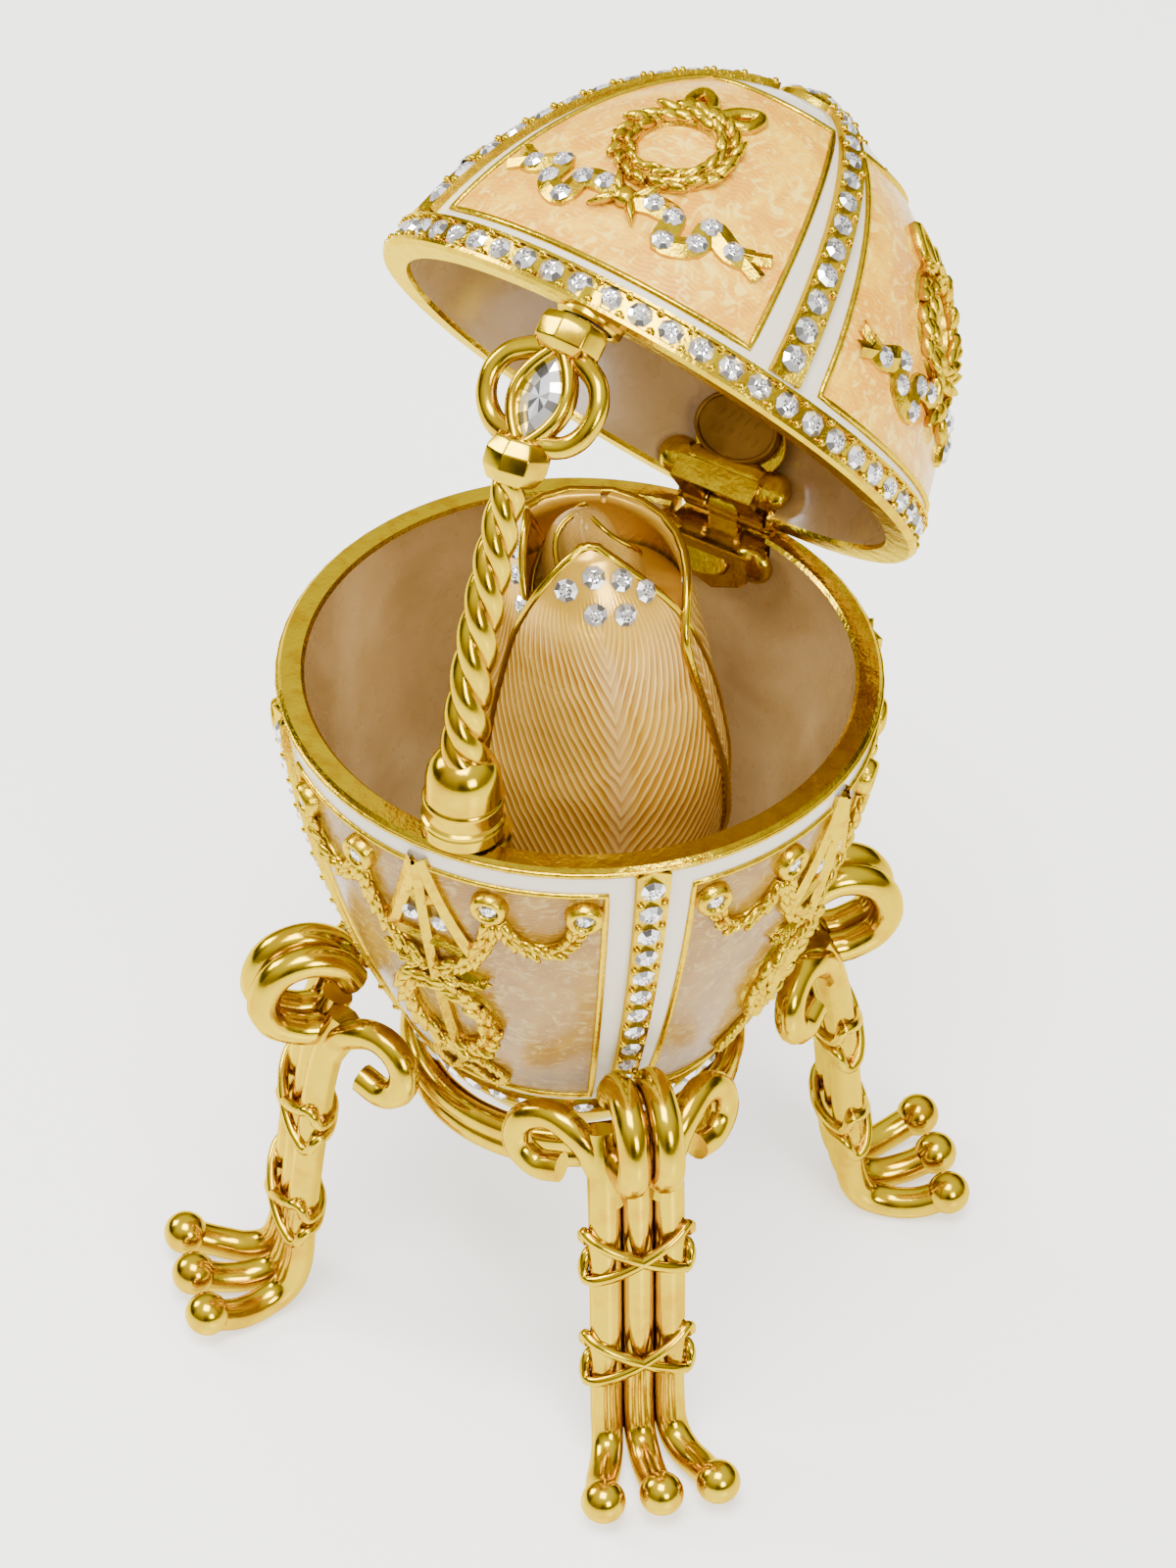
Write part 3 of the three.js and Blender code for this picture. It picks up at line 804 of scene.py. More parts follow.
def band(half, start, end):
    channels, settings, bead_places = [], [], []
    for bearing in SEAMS:
        channels.append(channel(half, bearing, start, end, (3.5 * MM, 2.3 * MM)))
        pitch = (end - start - 1.2 * MM) / BAND_STONES
        for k in range(BAND_STONES):
            middle = start + 0.6 * MM + pitch * (k + 0.5)
            radius = (1.42 - 0.03 * k) * MM
            settings.append((egg_place(half, bearing, 0, depth_at(half, middle), 0.62 * MM), radius))
            for side in (-1, 1):
                depth = depth_at(half, middle + 0.5 * pitch)
                bead_places.append(egg_place(half, bearing, side * 0.8 * radius, depth, 0.8 * MM))
    trough = joined(half + " stone channels", channels)
    if half == "lid":
        opened(trough)
    ride(smoothed(trough, 30), half, finish=cast_gold)
    set_stones(half + " band stones", half, settings)
    beads(half + " band beads", half, bead_places, 0.42 * MM)


band("base", 0.7 * MM, 44 * MM)
band("lid", 4.2 * MM, 44 * MM)

# %% [markdown]
# ## The stand
#
# The stand is cast: a double ring carries four legs, each a bundle of three rods that part at the
# foot and curl up into toes with a ball. At the top two rods loop over outwards and two more curl in
# as volutes to the ring. The rods are bent curves, so they are as smooth as the polished ones. Each
# line is given in millimetres outwards from the egg's axis and up from the floor.

# %% Lines of a leg
LEG_PITCH, TOE_SPREAD, LEG_ROD, TOE_BALL = 3.35, 6.1, 1.7, 2.35
LEG_LINE = [(25.0, 41.2), (26.6, 37.2), (28.4, 27), (30, 12.5), (30.7, 5.6), (32, 2.75), (34.2, 1.65),
            (37.4, 1.75), (40.6, 2.9)]
LOOP_LINE = [(23.6, 44.4), (25.4, 47.0), (29.4, 47.8), (32.6, 45.2), (32.6, 41.0), (29.6, 38.8), (27.0, 38.4)]
VOLUTE_LINE = [(27.4, 2.4, 33.0), (26.4, 3.6, 37.0), (24.6, 5.6, 40.6), (21.6, 8.6, 41.3), (20.4, 10.8, 38),
               (22.0, 9.4, 35.2), (24.0, 7.0, 35.6)]
BEARINGS = {"leg_front_right": -45, "leg_back_right": 45, "leg_back_left": 135, "leg_front_left": 225}


def in_mm(*values):
    return Vector(values) * MM


print("a leg reaches", LEG_LINE[-1][0], "mm from the axis")

# %% [markdown]
# One leg is modelled along x and copied to the four seams. Two pairs of wires cross in front of its
# bundle and meet behind, as if they bound the rods.

# %% Four legs
def smoothstep(value, low, high):
    share = min(max((value - low) / (high - low), 0), 1)
    return share * share * (3 - 2 * share)


def leg_rod(offset):
    line = []
    for x, z in LEG_LINE:
        splay = smoothstep(x, 30.5, 41) * (TOE_SPREAD - LEG_PITCH)
        line.append(in_mm(x - abs(offset) * splay * 0.1, offset * (LEG_PITCH + splay), z))
    return line


def wire_cross(height):
    """Two wires crossing in front of the bundle, each bent round it and meeting behind."""
    wires = []
    centre = 28.4 + (27 - height) * 0.11
    for side in (-1, 1):
        points = []
        for k in range(16):
            turn = math.tau * k / 16
            reach = 5.5 * math.cos(turn)
            front = 2.45 * math.sin(turn)
            rise = side * 2.9 * math.cos(turn) * (0.35 + 0.65 * (math.sin(turn) > 0))
            points.append(in_mm(centre + front - 0.12 * rise, reach, height + rise))
        wires.append(rod(points, 0.6 * MM, 3, 2, ring=True))
    return wires


def leg():
    parts = []
    for offset in (-1, 0, 1):
        line = leg_rod(offset)
        parts.append(rod(line, LEG_ROD * MM, 6, 4))
        parts.append(ball(TOE_BALL * MM, line[-1] + in_mm(0.5, 0, 0.35), 20, 12))
    for side in (-1, 1):
        parts.append(rod([in_mm(x, 1.75 * side, z) for x, z in LOOP_LINE], LEG_ROD * MM, 7, 4))
        parts.append(rod([in_mm(x, y * side, z) for x, y, z in VOLUTE_LINE], 1.6 * MM, 7, 4))
    for height in (27, 13.5):
        parts += wire_cross(height)
    return parts


leg_master = joined("leg_master", leg())
lowest = min(v.co.z for v in leg_master.data.vertices)
places = [Matrix.Translation(AXIS - Vector((0, 0, lowest))) @ Matrix.Rotation(math.radians(b), 4, "Z")
          for b in BEARINGS.values()]
for name, piece in zip(BEARINGS, copies(leg_master, places)):
    settle(piece)
    ride(smoothed(piece, 50), "base", name, finish=polished_gold, name=name + "_bundle")
print("four legs; they stand", round(lowest / MM, 2), "mm lower than drawn")

# %% [markdown]
# Two rings lie one on the other under the egg, the upper one a little wider. The egg sits in them and
# the volutes end on them. Each is a rod bent into a circle and closed on itself.

# %% Double ring
RING_R, RING_ROD = 16.1, 1.6
rings = []
for radius, height in ((RING_R, 29), (RING_R + 0.4, 31.5)):
    circle = [AXIS + in_mm(radius * math.cos(a), radius * math.sin(a), height) for a in
              (math.tau * k / 24 for k in range(24))]
    rings.append(rod(circle, RING_ROD * MM, 4, 4, ring=True))
double_ring = joined("double_ring", rings)
ride(double_ring, "base", "stand_ring", finish=polished_gold)
print("double ring:", len(double_ring.data.polygons), "faces")

# %% [markdown]
# ## The prop
#
# The prop is one casting: a round foot with two ring grooves, a shaft twisted from three strands like
# a rope, a faceted collar, a pointed oval frame for a marquise crystal with a loop on each side, and
# a faceted cap that meets the magnet in the lid. It stands on the rim over the clasp's housing. Each
# strand is a rod that winds round the shaft's line, because a twist made of real strands has the
# deep grooves that light shows up.

# %% Twisted strands
PROP_LINE = [(0, -26.4, 7.5), (0, -25.6, 14), (0, -23.6, 23), (0, -20.8, 31), (0, -18.2, 37.6)]
CLASP = Vector((CLASP_X, AXIS.y, RIM))


def at_clasp(x, y, z):
    return CLASP + in_mm(x, y, z)


def bend_at(points, share):
    """A point and direction on a smooth line through the points."""
    place = min(share * (len(points) - 1), len(points) - 1.001)
    k, t = int(place), place - int(place)
    p0, p1, p2, p3 = (Vector(points[min(max(k + i, 0), len(points) - 1)]) for i in (-1, 0, 1, 2))
    first, second, third = p2 - p0, 2 * p0 - 5 * p1 + 4 * p2 - p3, 3 * p1 - p0 - 3 * p2 + p3
    at = 0.5 * (2 * p1 + first * t + second * t ** 2 + third * t ** 3)
    way = 0.5 * (first + 2 * second * t + 3 * third * t ** 2)
    return at, way.normalized()


def strand(phase):
    points, radii = [], []
    for k in range(49):
        share = k / 48
        middle, way = bend_at(PROP_LINE, share)
        across = Vector((1, 0, 0))
        out = way.cross(across)
        coil = 2.35 + (1.6 - 2.35) * share
        turn = phase + 2.9 * math.tau * share
        points.append(at_clasp(*(middle + (across * math.cos(turn) - out * math.sin(turn)) * coil * 0.5)))
        radii.append(coil * 0.57 * MM)
    return rod(points, radii, 2, 4)


print("the shaft rises", round(PROP_LINE[-1][2] - PROP_LINE[0][2], 1), "mm")

# %% [markdown]
# The foot is turned and stays smooth. The collar and the cap are turned in only eight steps and then
# bevelled, so they look like cut nuts with softened edges. The frame of the stone is a rod along a
# pointed oval, and the loops are rods of changing thickness.

# %% Prop casting
def turned_part(profile, steps, place, facets=False):
    part = turned([(r * MM, z * MM) for r, z in profile], steps)
    part.matrix_world = place
    settle(part)
    return part if facets else smoothed(part, 38)


def tilted(x, y, z, lean):
    return Matrix.Translation(at_clasp(x, y, z)) @ Matrix.Rotation(math.radians(-lean), 4, "X")


def marquise(width, length, steps=16):
    """A pointed oval of two arcs, as corners."""
    bulge, points = 0.5 * width, []
    for side in (1, -1):
        for k in range(steps):
            share = k / steps
            across = bulge * math.sin(math.pi * share) ** 0.85
            points.append((side * across * MM, side * length * (share - 0.5) * MM))
    return points


FOOT = [(0, 0.3), (4.05, 0.3), (4.05, 1.5), (3.9, 1.65), (4.1, 1.85), (4.1, 2.2), (3.85, 2.4), (3.9, 3.9),
        (4.0, 4.1), (3.95, 4.4), (3.75, 4.6), (3.7, 6.6), (3.55, 7.5), (3.1, 8.5), (2.3, 9.3), (1.2, 9.8),
        (0, 10)]
COLLAR = [(0, -2.2), (2.4, -2.2), (2.6, -2.0), (3.25, -0.9), (3.3, 0.7), (3.1, 1.1), (2.6, 2.0), (2.4, 2.2),
          (0, 2.2)]
STRAP = [(1.5, -15.9, 40.4), (4.2, -15.0, 41.0), (5.7, -13.4, 43.2), (5.2, -11.4, 45.3), (3.2, -10.0, 46.2),
         (1.6, -9.4, 46.4)]
STRAP_THICK = [t * MM for t in (1.2, 1.1, 1.0, 1.0, 1.1, 1.2)]
SPINE = [(0, -15.2, 40.4), (0, -11.4, 41.2), (0, -9.4, 43.4), (0, -8.2, 45.4)]
CAP = [(0, -1.9), (2.4, -1.9), (2.7, -1.7), (3.5, -0.9), (3.55, 0.9), (3.3, 1.6), (3.0, 1.8), (0, 1.8)]
parts = [turned_part(FOOT, 48, tilted(0, -26.4, 0, 0))]
for profile, place in ((COLLAR, tilted(0, -17.3, 39.2, 30)), (CAP, tilted(0, -8.1, 47.2, 52))):
    facetted = turned_part(profile, 8, place, True)
    parts.append(smoothed(bevelled(facetted, 0.3 * MM, 3, 12), 20))
parts += [strand(math.tau * k / 3) for k in range(3)]
for s in (-1, 1):
    parts.append(rod([at_clasp(x * s, y, z) for x, y, z in STRAP], STRAP_THICK, 6, 3))
parts.append(rod([at_clasp(*p) for p in SPINE], 0.85 * MM, 6, 3))
rim_line = [Vector((x, y, 0)) for x, y in marquise(5.3, 9.9, 12)]
BEZEL = Matrix.Translation(at_clasp(0, -13, 43.6)) @ Matrix.Rotation(math.radians(45), 4, "X")
frame_ring = rod(rim_line, 0.75 * MM, 2, 3, ring=True)
frame_ring.data.transform(Matrix.Diagonal((1, 1, 1.7, 1)))
frame_ring.data.transform(BEZEL)
parts.append(frame_ring)
prop = joined("prop_casting", parts)
ride(prop, "base", "prop_rod", finish=polished_gold)
print("prop casting:", len(prop.data.polygons), "faces")

# %% [markdown]
# The marquise is a pointed oval brilliant. Its outline is extruded like a plate, and its two broad
# faces are inset and poked, which gives a ring of facets round the middle. As in the round stones, a
# foil one lies inside a clear one.

# %% Marquise crystal
def marquise_stone(width, length, rise):
    stone = plate(marquise(width, length, 8), -0.3 * MM, 0.1 * MM)
    face_select(stone, lambda face: abs(face.normal.z) > 0.9)
    bpy.ops.mesh.inset(thickness=0.28 * width * MM, depth=rise * MM, use_individual=True)
    bpy.ops.mesh.poke()
    bpy.ops.object.mode_set(mode="OBJECT")
    return stone


foil, crown = foiled(marquise_stone(4.3, 8.4, 0.6)), marquise_stone(4.5, 8.7, 0.8)
crown.data.materials.append(clear_crystal)
stone = joined("marquise_brilliant", [foil, crown])
stone.data.transform(BEZEL)
ride(stone, "base", "marquise_crystal", slot="crystal")
print("marquise:", len(stone.data.polygons), "faces")

# %% [markdown]
# ## The clasp's housing and the magnet
#
# A little cup for the base's magnet hangs inside the wall under the prop's foot. Another small magnet
# sits under the lid, where it meets the prop's cap. It is black, in a thin gold lip.

# %% Housing and magnet
HOUSING = [(0, -7.1), (3.9, -7.1), (4.2, -6.9), (4.3, -6.6), (4.3, -0.9), (4.05, -0.6), (2.9, -0.6), (2.8, -0.8),
           (2.8, -1.6), (0, -1.6)]
housing = turned_part(HOUSING, 40, tilted(0, -25.5, 0, 0))


def inside_wall(p):
    centre = Vector((AXIS.x, AXIS.y, p.z))
    limit = egg_radius("base", RIM - p.z) - 0.7 * MM
    return centre + (p - centre) * min(1, limit / max((p - centre).length, MM))


move_each(housing, inside_wall)
ride(housing, "base", finish=polished_gold, name="clasp_housing")

magnet = turned_part([(0, -0.5), (2.0, -0.5), (2.2, -0.3), (2.2, 1.6), (0, 1.6)], 32, tilted(0, -26.2, 0, 0))
black = Finish("black magnet", Roughness=0.35, Metallic=0.3)
black.set(Base_Color=black.mix(black.noise(700, 3).between(0.4, 0.7), (0.012, 0.010, 0.008), (0.06, 0.05, 0.04)))
ride(opened(magnet), "lid", "lid_magnet", finish=black.material, name="lid_magnet_disc", slot="black_magnet")
LIP = [(2.55, 0.9), (2.6, -0.1), (2.75, -0.25), (3.2, -0.25), (3.4, 0.0), (3.4, 2.4), (2.9, 2.6)]
lip = turned_part(LIP, 40, tilted(0, -26.2, 0, 0))
ride(opened(lip), "lid", finish=polished_gold, name="magnet_lip")
print("the housing hangs", -HOUSING[0][1], "mm below the rim")

# %% [markdown]
# ## Borders of the panels
#
# A thin gold wire parts the peach from the white all round each panel. It is a bent rod that follows
# the egg at a fixed angle from the panel's middle.

# %% Gold border wires
def panel_border(half, bearing, near, far, radius):
    sense, angle = HALVES[half]["sense"], math.degrees(PANEL_HALF)
    steps = 22
    sides = [near + (far - near) * k / steps for k in range(steps + 1)]
    turns = [angle * (2 * k / steps - 1) for k in range(1, steps)]
    path = [(angle, d) for d in sides] + [(-t, far) for t in turns]
    path += [(-angle, d) for d in reversed(sides)] + [(t, near) for t in turns]
    points = [egg_place(half, bearing + sense * t, 0, d, 0.02 * MM).translation for t, d in path]
    return rod(points, radius, 1, 2, ring=True)


def borders(half, near, far, circles=()):
    wires = [panel_border(half, bearing, near, far, 0.36 * MM) for bearing in QUARTERS]
    for depth in circles:
        circle = [egg_place(half, 6 * k, 0, depth * MM).translation for k in range(60)]
        wires.append(rod(circle, 0.33 * MM, 1, 2, ring=True))
    piece = joined(half + " border wires", wires)
    print(piece.name, "has", len(wires), "wires")
    return ride(opened(piece) if half == "lid" else piece, half, finish=cast_gold)


borders("base", PANEL_TOP, PANEL_FOOT, circles=(0.75, 46.4))
borders("lid", LID_PANEL_FOOT, LID_PANEL_TOP)

# %% [markdown]
# ## Leafy garlands
#
# Swags and wreaths are cast as cords of small pointed leaves. Each follows a line drawn flat on the
# panel, which is laid on the egg and walked in equal steps, so that the leaves keep their distance
# where the line bends.

# %% Walking along a line
def smooth_line(points, steps=12):
    return [bend_at(points, k / (steps * (len(points) - 1)))[0] for k in range(steps * (len(points) - 1) + 1)]


def on_egg(half, bearing, points, out):
    return [egg_place(half, bearing, x * MM, y * MM, out * MM).translation for x, y, *_ in points]


def walk(half, bearing, points, pitch, out=0.0):
    """Places at equal steps along a line on the egg: x along it, z out of the surface."""
    line = [(x, y, 0) for x, y in points]
    fine = smooth_line(line, 16)
    spots = on_egg(half, bearing, fine, out)
    places, carried = [], 0.5 * pitch
    for k in range(len(spots) - 1):
        step = spots[k + 1] - spots[k]
        carried += step.length
        if carried >= pitch:
            carried -= pitch
            normal = egg_place(half, bearing, fine[k].x * MM, fine[k].y * MM).to_3x3().col[2]
            ahead = step.normalized()
            side = normal.cross(ahead).normalized()
            turn = Matrix((ahead, side, ahead.cross(side))).transposed().to_4x4()
            places.append(Matrix.Translation(spots[k]) @ turn)
    return places


def oval_line(width, height, centre, steps=24):
    turns = [math.tau * k / steps - math.pi / 2 for k in range(steps + 1)]
    return [(0.5 * width * math.cos(t), centre + 0.5 * height * math.sin(t)) for t in turns]


print("a wreath of 10 mm takes", len(walk("base", 0, oval_line(10, 10, 27), 1.4 * MM)), "pairs of leaves")

# %% [markdown]
# One leaf is a flattened ball, drawn out to a point with a keel. It is set down left and right of the
# line in turn, with a little swing from pair to pair, over a thin cord that holds them together.

# %% Leaves and cords
def leaf(length, width, height):
    """A pointed leaf, its stalk at the origin and its tip along x."""
    obj = ball(0.5 * MM, (0, 0, 0), 8, 5)
    for vertex in obj.data.vertices:
        share = vertex.co.x / MM + 0.5
        taper = 1 - 0.75 * share ** 2
        keel = 1 - 0.5 * abs(vertex.co.y) / (0.5 * MM)
        rise = vertex.co.z * height / MM * keel + 0.1 * height
        vertex.co = (share * length, vertex.co.y * width / MM * taper, rise)
    return obj


def leafy(half, bearing, line, size, rows=1, out=0.35):
    """Leaves along a line, in pairs that point outwards, with rows of them side by side."""
    places = []
    for k, place in enumerate(walk(half, bearing, line, 0.62 * size * MM, out)):
        for side in (-1, 1):
            for row in range(rows):
                swing = side * (16 + 20 * row + 7 * math.sin(2.3 * k))
                shift = Matrix.Translation((-0.2 * size * MM, side * (0.12 + 0.34 * row) * size * MM, 0))
                tilt = Matrix.Rotation(math.radians(-12 - 5 * math.cos(3.1 * k + row)), 4, "Y")
                places.append(place @ shift @ Matrix.Rotation(math.radians(swing), 4, "Z") @ tilt)
    return copies(leaf(1.25 * size * MM, 0.72 * size * MM, 0.62 * size * MM), places)


def cord(half, bearing, line, radius, out=0.1):
    points = on_egg(half, bearing, smooth_line([(x, y, 0) for x, y in line], 5), out)
    return rod(points, radius * MM, 2, 2)


print("leaves and cords are ready for both halves")

# %% [markdown]
# ## Relief on the base
#
# The relief also has ribbons and straight bars. Each is a strip with a ridge along its top, made from a
# grid whose rows follow a line. The stones between the swags sit in round bosses, which are turned.

# %% Bars and bosses
def flat_bar(half, bearing, line, width, height):
    """A strip with a ridge along its top, laid on the egg."""
    fine = smooth_line([(x, y, 0) for x, y in line], 5)
    nothing_selected()
    bpy.ops.mesh.primitive_grid_add(x_subdivisions=4, y_subdivisions=len(fine) - 1, size=1)
    obj = bpy.context.object
    lifts = (-0.4, 0.45 * height, height, 0.45 * height, -0.4)
    for vertex in obj.data.vertices:
        row = round((vertex.co.y + 0.5) * (len(fine) - 1))
        column = round((vertex.co.x + 0.5) * 4)
        ahead = (fine[min(row + 1, len(fine) - 1)] - fine[max(row - 1, 0)]).normalized()
        aside = width * (-0.5, -0.42, 0, 0.42, 0.5)[column]
        spot = fine[row] + Vector((-ahead.y, ahead.x, 0)) * aside
        vertex.co = (spot.x * MM, spot.y * MM, lifts[column] * MM)
    return smoothed(laid(obj, half, bearing), 30)


def boss(half, bearing, x, y):
    """A round setting: a domed washer with a hollow for its stone."""
    profile = [(1.0, 0.9), (1.15, 1.25), (1.45, 1.35), (1.75, 1.15), (1.9, 0.6), (1.95, -0.4)]
    part = turned([(r * MM, z * MM) for r, z in profile], 20)
    part.matrix_world = egg_place(half, bearing, x * MM, y * MM)
    return smoothed(settle(part), 60)


BOSSES = [(s * x, 6.4) for s in (-1, 1) for x in (7.4, 16.6)]
print("each panel of the base has", len(BOSSES), "bosses")

# %% [markdown]
# Every panel of the base has four stone-set bosses under its upper edge, leafy swags between them, and
# in the middle an arrow: an open triangular head, a long shaft, a crosspiece with ribbons, a laurel
# wreath round the shaft and a tied bow below it. The left and right halves mirror each other, so one
# loop makes both. Lines are given in millimetres across the panel and away from the rim.

# %% Base relief
BARS = [([(0.2, 2.4), (2.3, 9), (4.9, 15.8)], 1.9, 1.0), ([(5.0, 15.8), (2.6, 14.9), (0, 14.6)], 1.5, 0.9),
        ([(2.0, 7.6), (0.9, 8.4), (0, 8.8)], 1.6, 0.8), ([(0, 18.9), (2.6, 18.3), (5.6, 19.6)], 1.2, 1.1)]
SWAGS = [[(8.2, 8.4), (9.6, 10.9), (12, 12), (14.4, 10.9), (15.8, 8.4)],
         [(7.2, 8.6), (6.6, 11.6), (5.2, 14.6), (3.6, 16.8), (1.2, 18.4)]]
RIBBON = [(0.6, 19.4), (3, 20.4), (5.2, 19.4)]
BOW = [(0.4, 35.6), (2.6, 36.4), (4.0, 38.4), (2.4, 40.2), (0.6, 38.0)]


def mirrored(line, side):
    return [(x * side, y) for x, y in line]


def base_panel(bearing):
    parts, stones = [], []
    for x, y in BOSSES:
        parts.append(boss("base", bearing, x, y))
        stones.append((egg_place("base", bearing, x * MM, y * MM, 0.8 * MM), 1.1 * MM))
    for s in (-1, 1):
        for line in (mirrored(swag, s) for swag in SWAGS):
            parts.append(cord("base", bearing, line, 0.75))
            parts += leafy("base", bearing, line, 1.7)
        parts += [flat_bar("base", bearing, mirrored(line, s), width, height) for line, width, height in BARS]
        parts += leafy("base", bearing, mirrored(RIBBON, s), 1.1)
        bow = mirrored(BOW, s)
        parts.append(cord("base", bearing, bow, 0.5, 0.35))
        parts += leafy("base", bearing, bow, 0.95)
        stones.append((egg_place("base", bearing, 1.7 * s * MM, 11.4 * MM, 0.45 * MM), 1.1 * MM))
    parts.append(flat_bar("base", bearing, [(0, 2.6), (0, 20), (0, 36.5)], 1.5, 1.3))
    ring = oval_line(9.4, 11.6, 27.4)
    parts.append(flat_bar("base", bearing, ring, 2.4, 0.9))
    parts += leafy("base", bearing, ring, 2.2)
    return parts, stones


relief, relief_stones = [], []
for bearing in QUARTERS:
    parts, stones = base_panel(bearing)
    relief += parts
    relief_stones += stones
base_relief = ride(joined("base relief", relief), "base", finish=cast_gold)
foot_row = [(egg_place("base", 10 * k + 5, 0, 44.4 * MM, 0.35 * MM), 1.15 * MM) for k in range(36)]
set_stones("relief stones", "base", relief_stones + foot_row)
print("base relief:", len(base_relief.data.polygons), "faces")

# %% [markdown]
# ## Relief on the lid
#
# The lid's panels carry a laurel wreath with a bow at its top. From a knot below it two ribbons wave
# out to swallow tails, each set with six stones.

# %% Lid relief
RIBBON_STONES = [(2.7, 12.7), (5.1, 12.3), (5.8, 9.7), (8.5, 11.0), (8.5, 13.2), (11.6, 12.1)]
RIBBON_LINE = [(0.4, 12), (2.7, 12.7), (5.1, 12.3), (5.8, 9.7), (8.5, 10.8), (8.5, 13.2), (11.6, 12.1),
               (13.4, 12.5)]
TAILS = [(14.8, 13.5), (15.0, 11.3)]
LID_BOW = [(0.3, 24.0), (1.5, 26.0), (3.3, 26.6), (3.3, 24.9), (1.6, 24.2)]


def lid_panel(bearing):
    parts, stones = [], []
    ring = oval_line(9.6, 8.6, 19.3)
    parts.append(flat_bar("lid", bearing, ring, 2.4, 0.9))
    parts += leafy("lid", bearing, ring, 2.4)
    for s in (-1, 1):
        parts.append(flat_bar("lid", bearing, mirrored(RIBBON_LINE, s), 2.7, 0.85))
        for x, y in TAILS:
            tail = mirrored([(12.2, 12.3), (13.6, 0.5 * (12.3 + y)), (x, y)], s)
            parts.append(flat_bar("lid", bearing, tail, 1.7, 0.8))
        for y in (9.3, 14.8):
            turn = Matrix.Rotation(math.atan2(y - 12, s * 2.0), 4, "Z")
            knot = egg_place("lid", bearing, 0.6 * s * MM, 12 * MM, 0.5 * MM)
            parts += copies(leaf(3.4 * MM, 1.3 * MM, 1.5 * MM), [knot @ turn])
        parts.append(cord("lid", bearing, mirrored(LID_BOW, s), 0.75, 0.4))
        for x, y in mirrored(RIBBON_STONES, s):
            stones.append((egg_place("lid", bearing, x * MM, y * MM, 0.72 * MM), 1.15 * MM))
    knot = ball(1.2 * MM, (0, 0, 0), 10, 6, (1, 1, 0.8))
    parts += copies(knot, [egg_place("lid", bearing, 0, y * MM, 0.5 * MM) for y in (12, 24.3)])
    return parts, stones


relief, relief_stones = [], []
for bearing in QUARTERS:
    parts, stones = lid_panel(bearing)
    relief += parts
    relief_stones += stones
APEX = Matrix.Translation(AXIS + Vector((0, 0, RIM)) + in_mm(0, 0, 34.6))
crown_profile = [(0, 1.3), (1.9, 1.2), (2.1, 0.7), (3.6, 0.5), (4.3, -0.1), (4.5, -1.2)]
relief.append(turned_part(crown_profile, 32, APEX))
apex_stones = [(APEX @ Matrix.Translation(in_mm(0, 0, 1.1)), 1.7 * MM)]
for k in range(8):
    turn = Matrix.Rotation(math.tau * k / 8, 4, "Z") @ Matrix.Translation(in_mm(3.1, 0, 0.45))
    apex_stones.append((APEX @ turn @ Matrix.Rotation(math.radians(22), 4, "Y"), 1.1 * MM))
lid_relief = ride(opened(joined("lid relief", relief)), "lid", finish=cast_gold)
set_stones("lid ornament stones", "lid", relief_stones + apex_stones)
print("lid relief:", len(lid_relief.data.polygons), "faces")

# %% [markdown]
# ## The rosebud
#
# The surprise inside is a rosebud. Its body is turned, given three soft folds and leant over. Every
# later part of the bud is laid on this body, so one formula gives a point on it at any height and
# turn, as one did for the egg.

# %% Bud body
BUD_PROFILE = [(0, -55.1), (3, -55.1), (3.4, -46), (3.6, -39), (6.4, -33), (9.6, -25), (11.5, -16), (12, -8),
               (11.2, 0), (9.4, 10), (7.6, 15), (5, 18.6), (3, 20.4), (0, 20.6)]


def bud_radius(height):
    for (r0, z0), (r1, z1) in zip(BUD_PROFILE[1:], BUD_PROFILE[2:]):
        if height <= z1:
            return r0 + (r1 - r0) * (height - z0) / (z1 - z0)
    return 0


def bud_point(turn, height, swell=0.0):
    share = min(max((height + 39) / 60, 0), 1)
    smooth = 0.25 * (bud_radius(height - 1.5) + 2 * bud_radius(height) + bud_radius(height + 1.5))
    fold = 1 + 0.06 * math.sin(3 * turn + 5 * share) * math.sin(math.pi * share)
    lean = math.sin(math.pi * min(share * 1.05, 1))
    radius = smooth * fold + swell
    return AXIS + Vector((0, 0, RIM)) + in_mm(radius * math.cos(turn) + 2.4 * lean,
                                              radius * math.sin(turn) + 1.3 * lean, height)


def bud_body():
    heights = [-55.1, -50, -46, -42, -39] + [-37 + 2 * k for k in range(24)]
    body = turned([(0, -55.1 * MM)] + [(MM, z * MM) for z in heights] + [(0, 10 * MM)], 48)
    for vertex in body.data.vertices:
        z = vertex.co.z / MM
        if math.hypot(vertex.co.x, vertex.co.y) < 0.5 * MM:
            vertex.co = bud_point(0, z) * 0.5 + bud_point(math.pi, z) * 0.5
        else:
            vertex.co = bud_point(math.atan2(vertex.co.y, vertex.co.x), z, -0.5)
    return smoothed(body, 60)


widest, height = max(BUD_PROFILE)
print("the bud is widest", -height, "mm below the rim, with a radius of", widest, "mm")

# %% [markdown]
# A petal is a thin sheet on that body. It is a grid whose width follows the petal's outline, so its
# middle row is the midrib, and a Solidify modifier gives it thickness. Towards its tip it stands off
# the bud, where it leaves the furled heart room. Its UV map counts across and along.

# %% One petal
COLLAR_R = 4.8


def petal_width(share, widest, tip):
    """Half the petal's width at a share of its height, as a part of its width at the widest place."""
    if share < widest:
        return 0.5 + 0.5 * math.sin(0.5 * math.pi * share / widest)
    return max(1 - ((share - widest) / (1 - widest)) ** tip, 0) ** 0.5


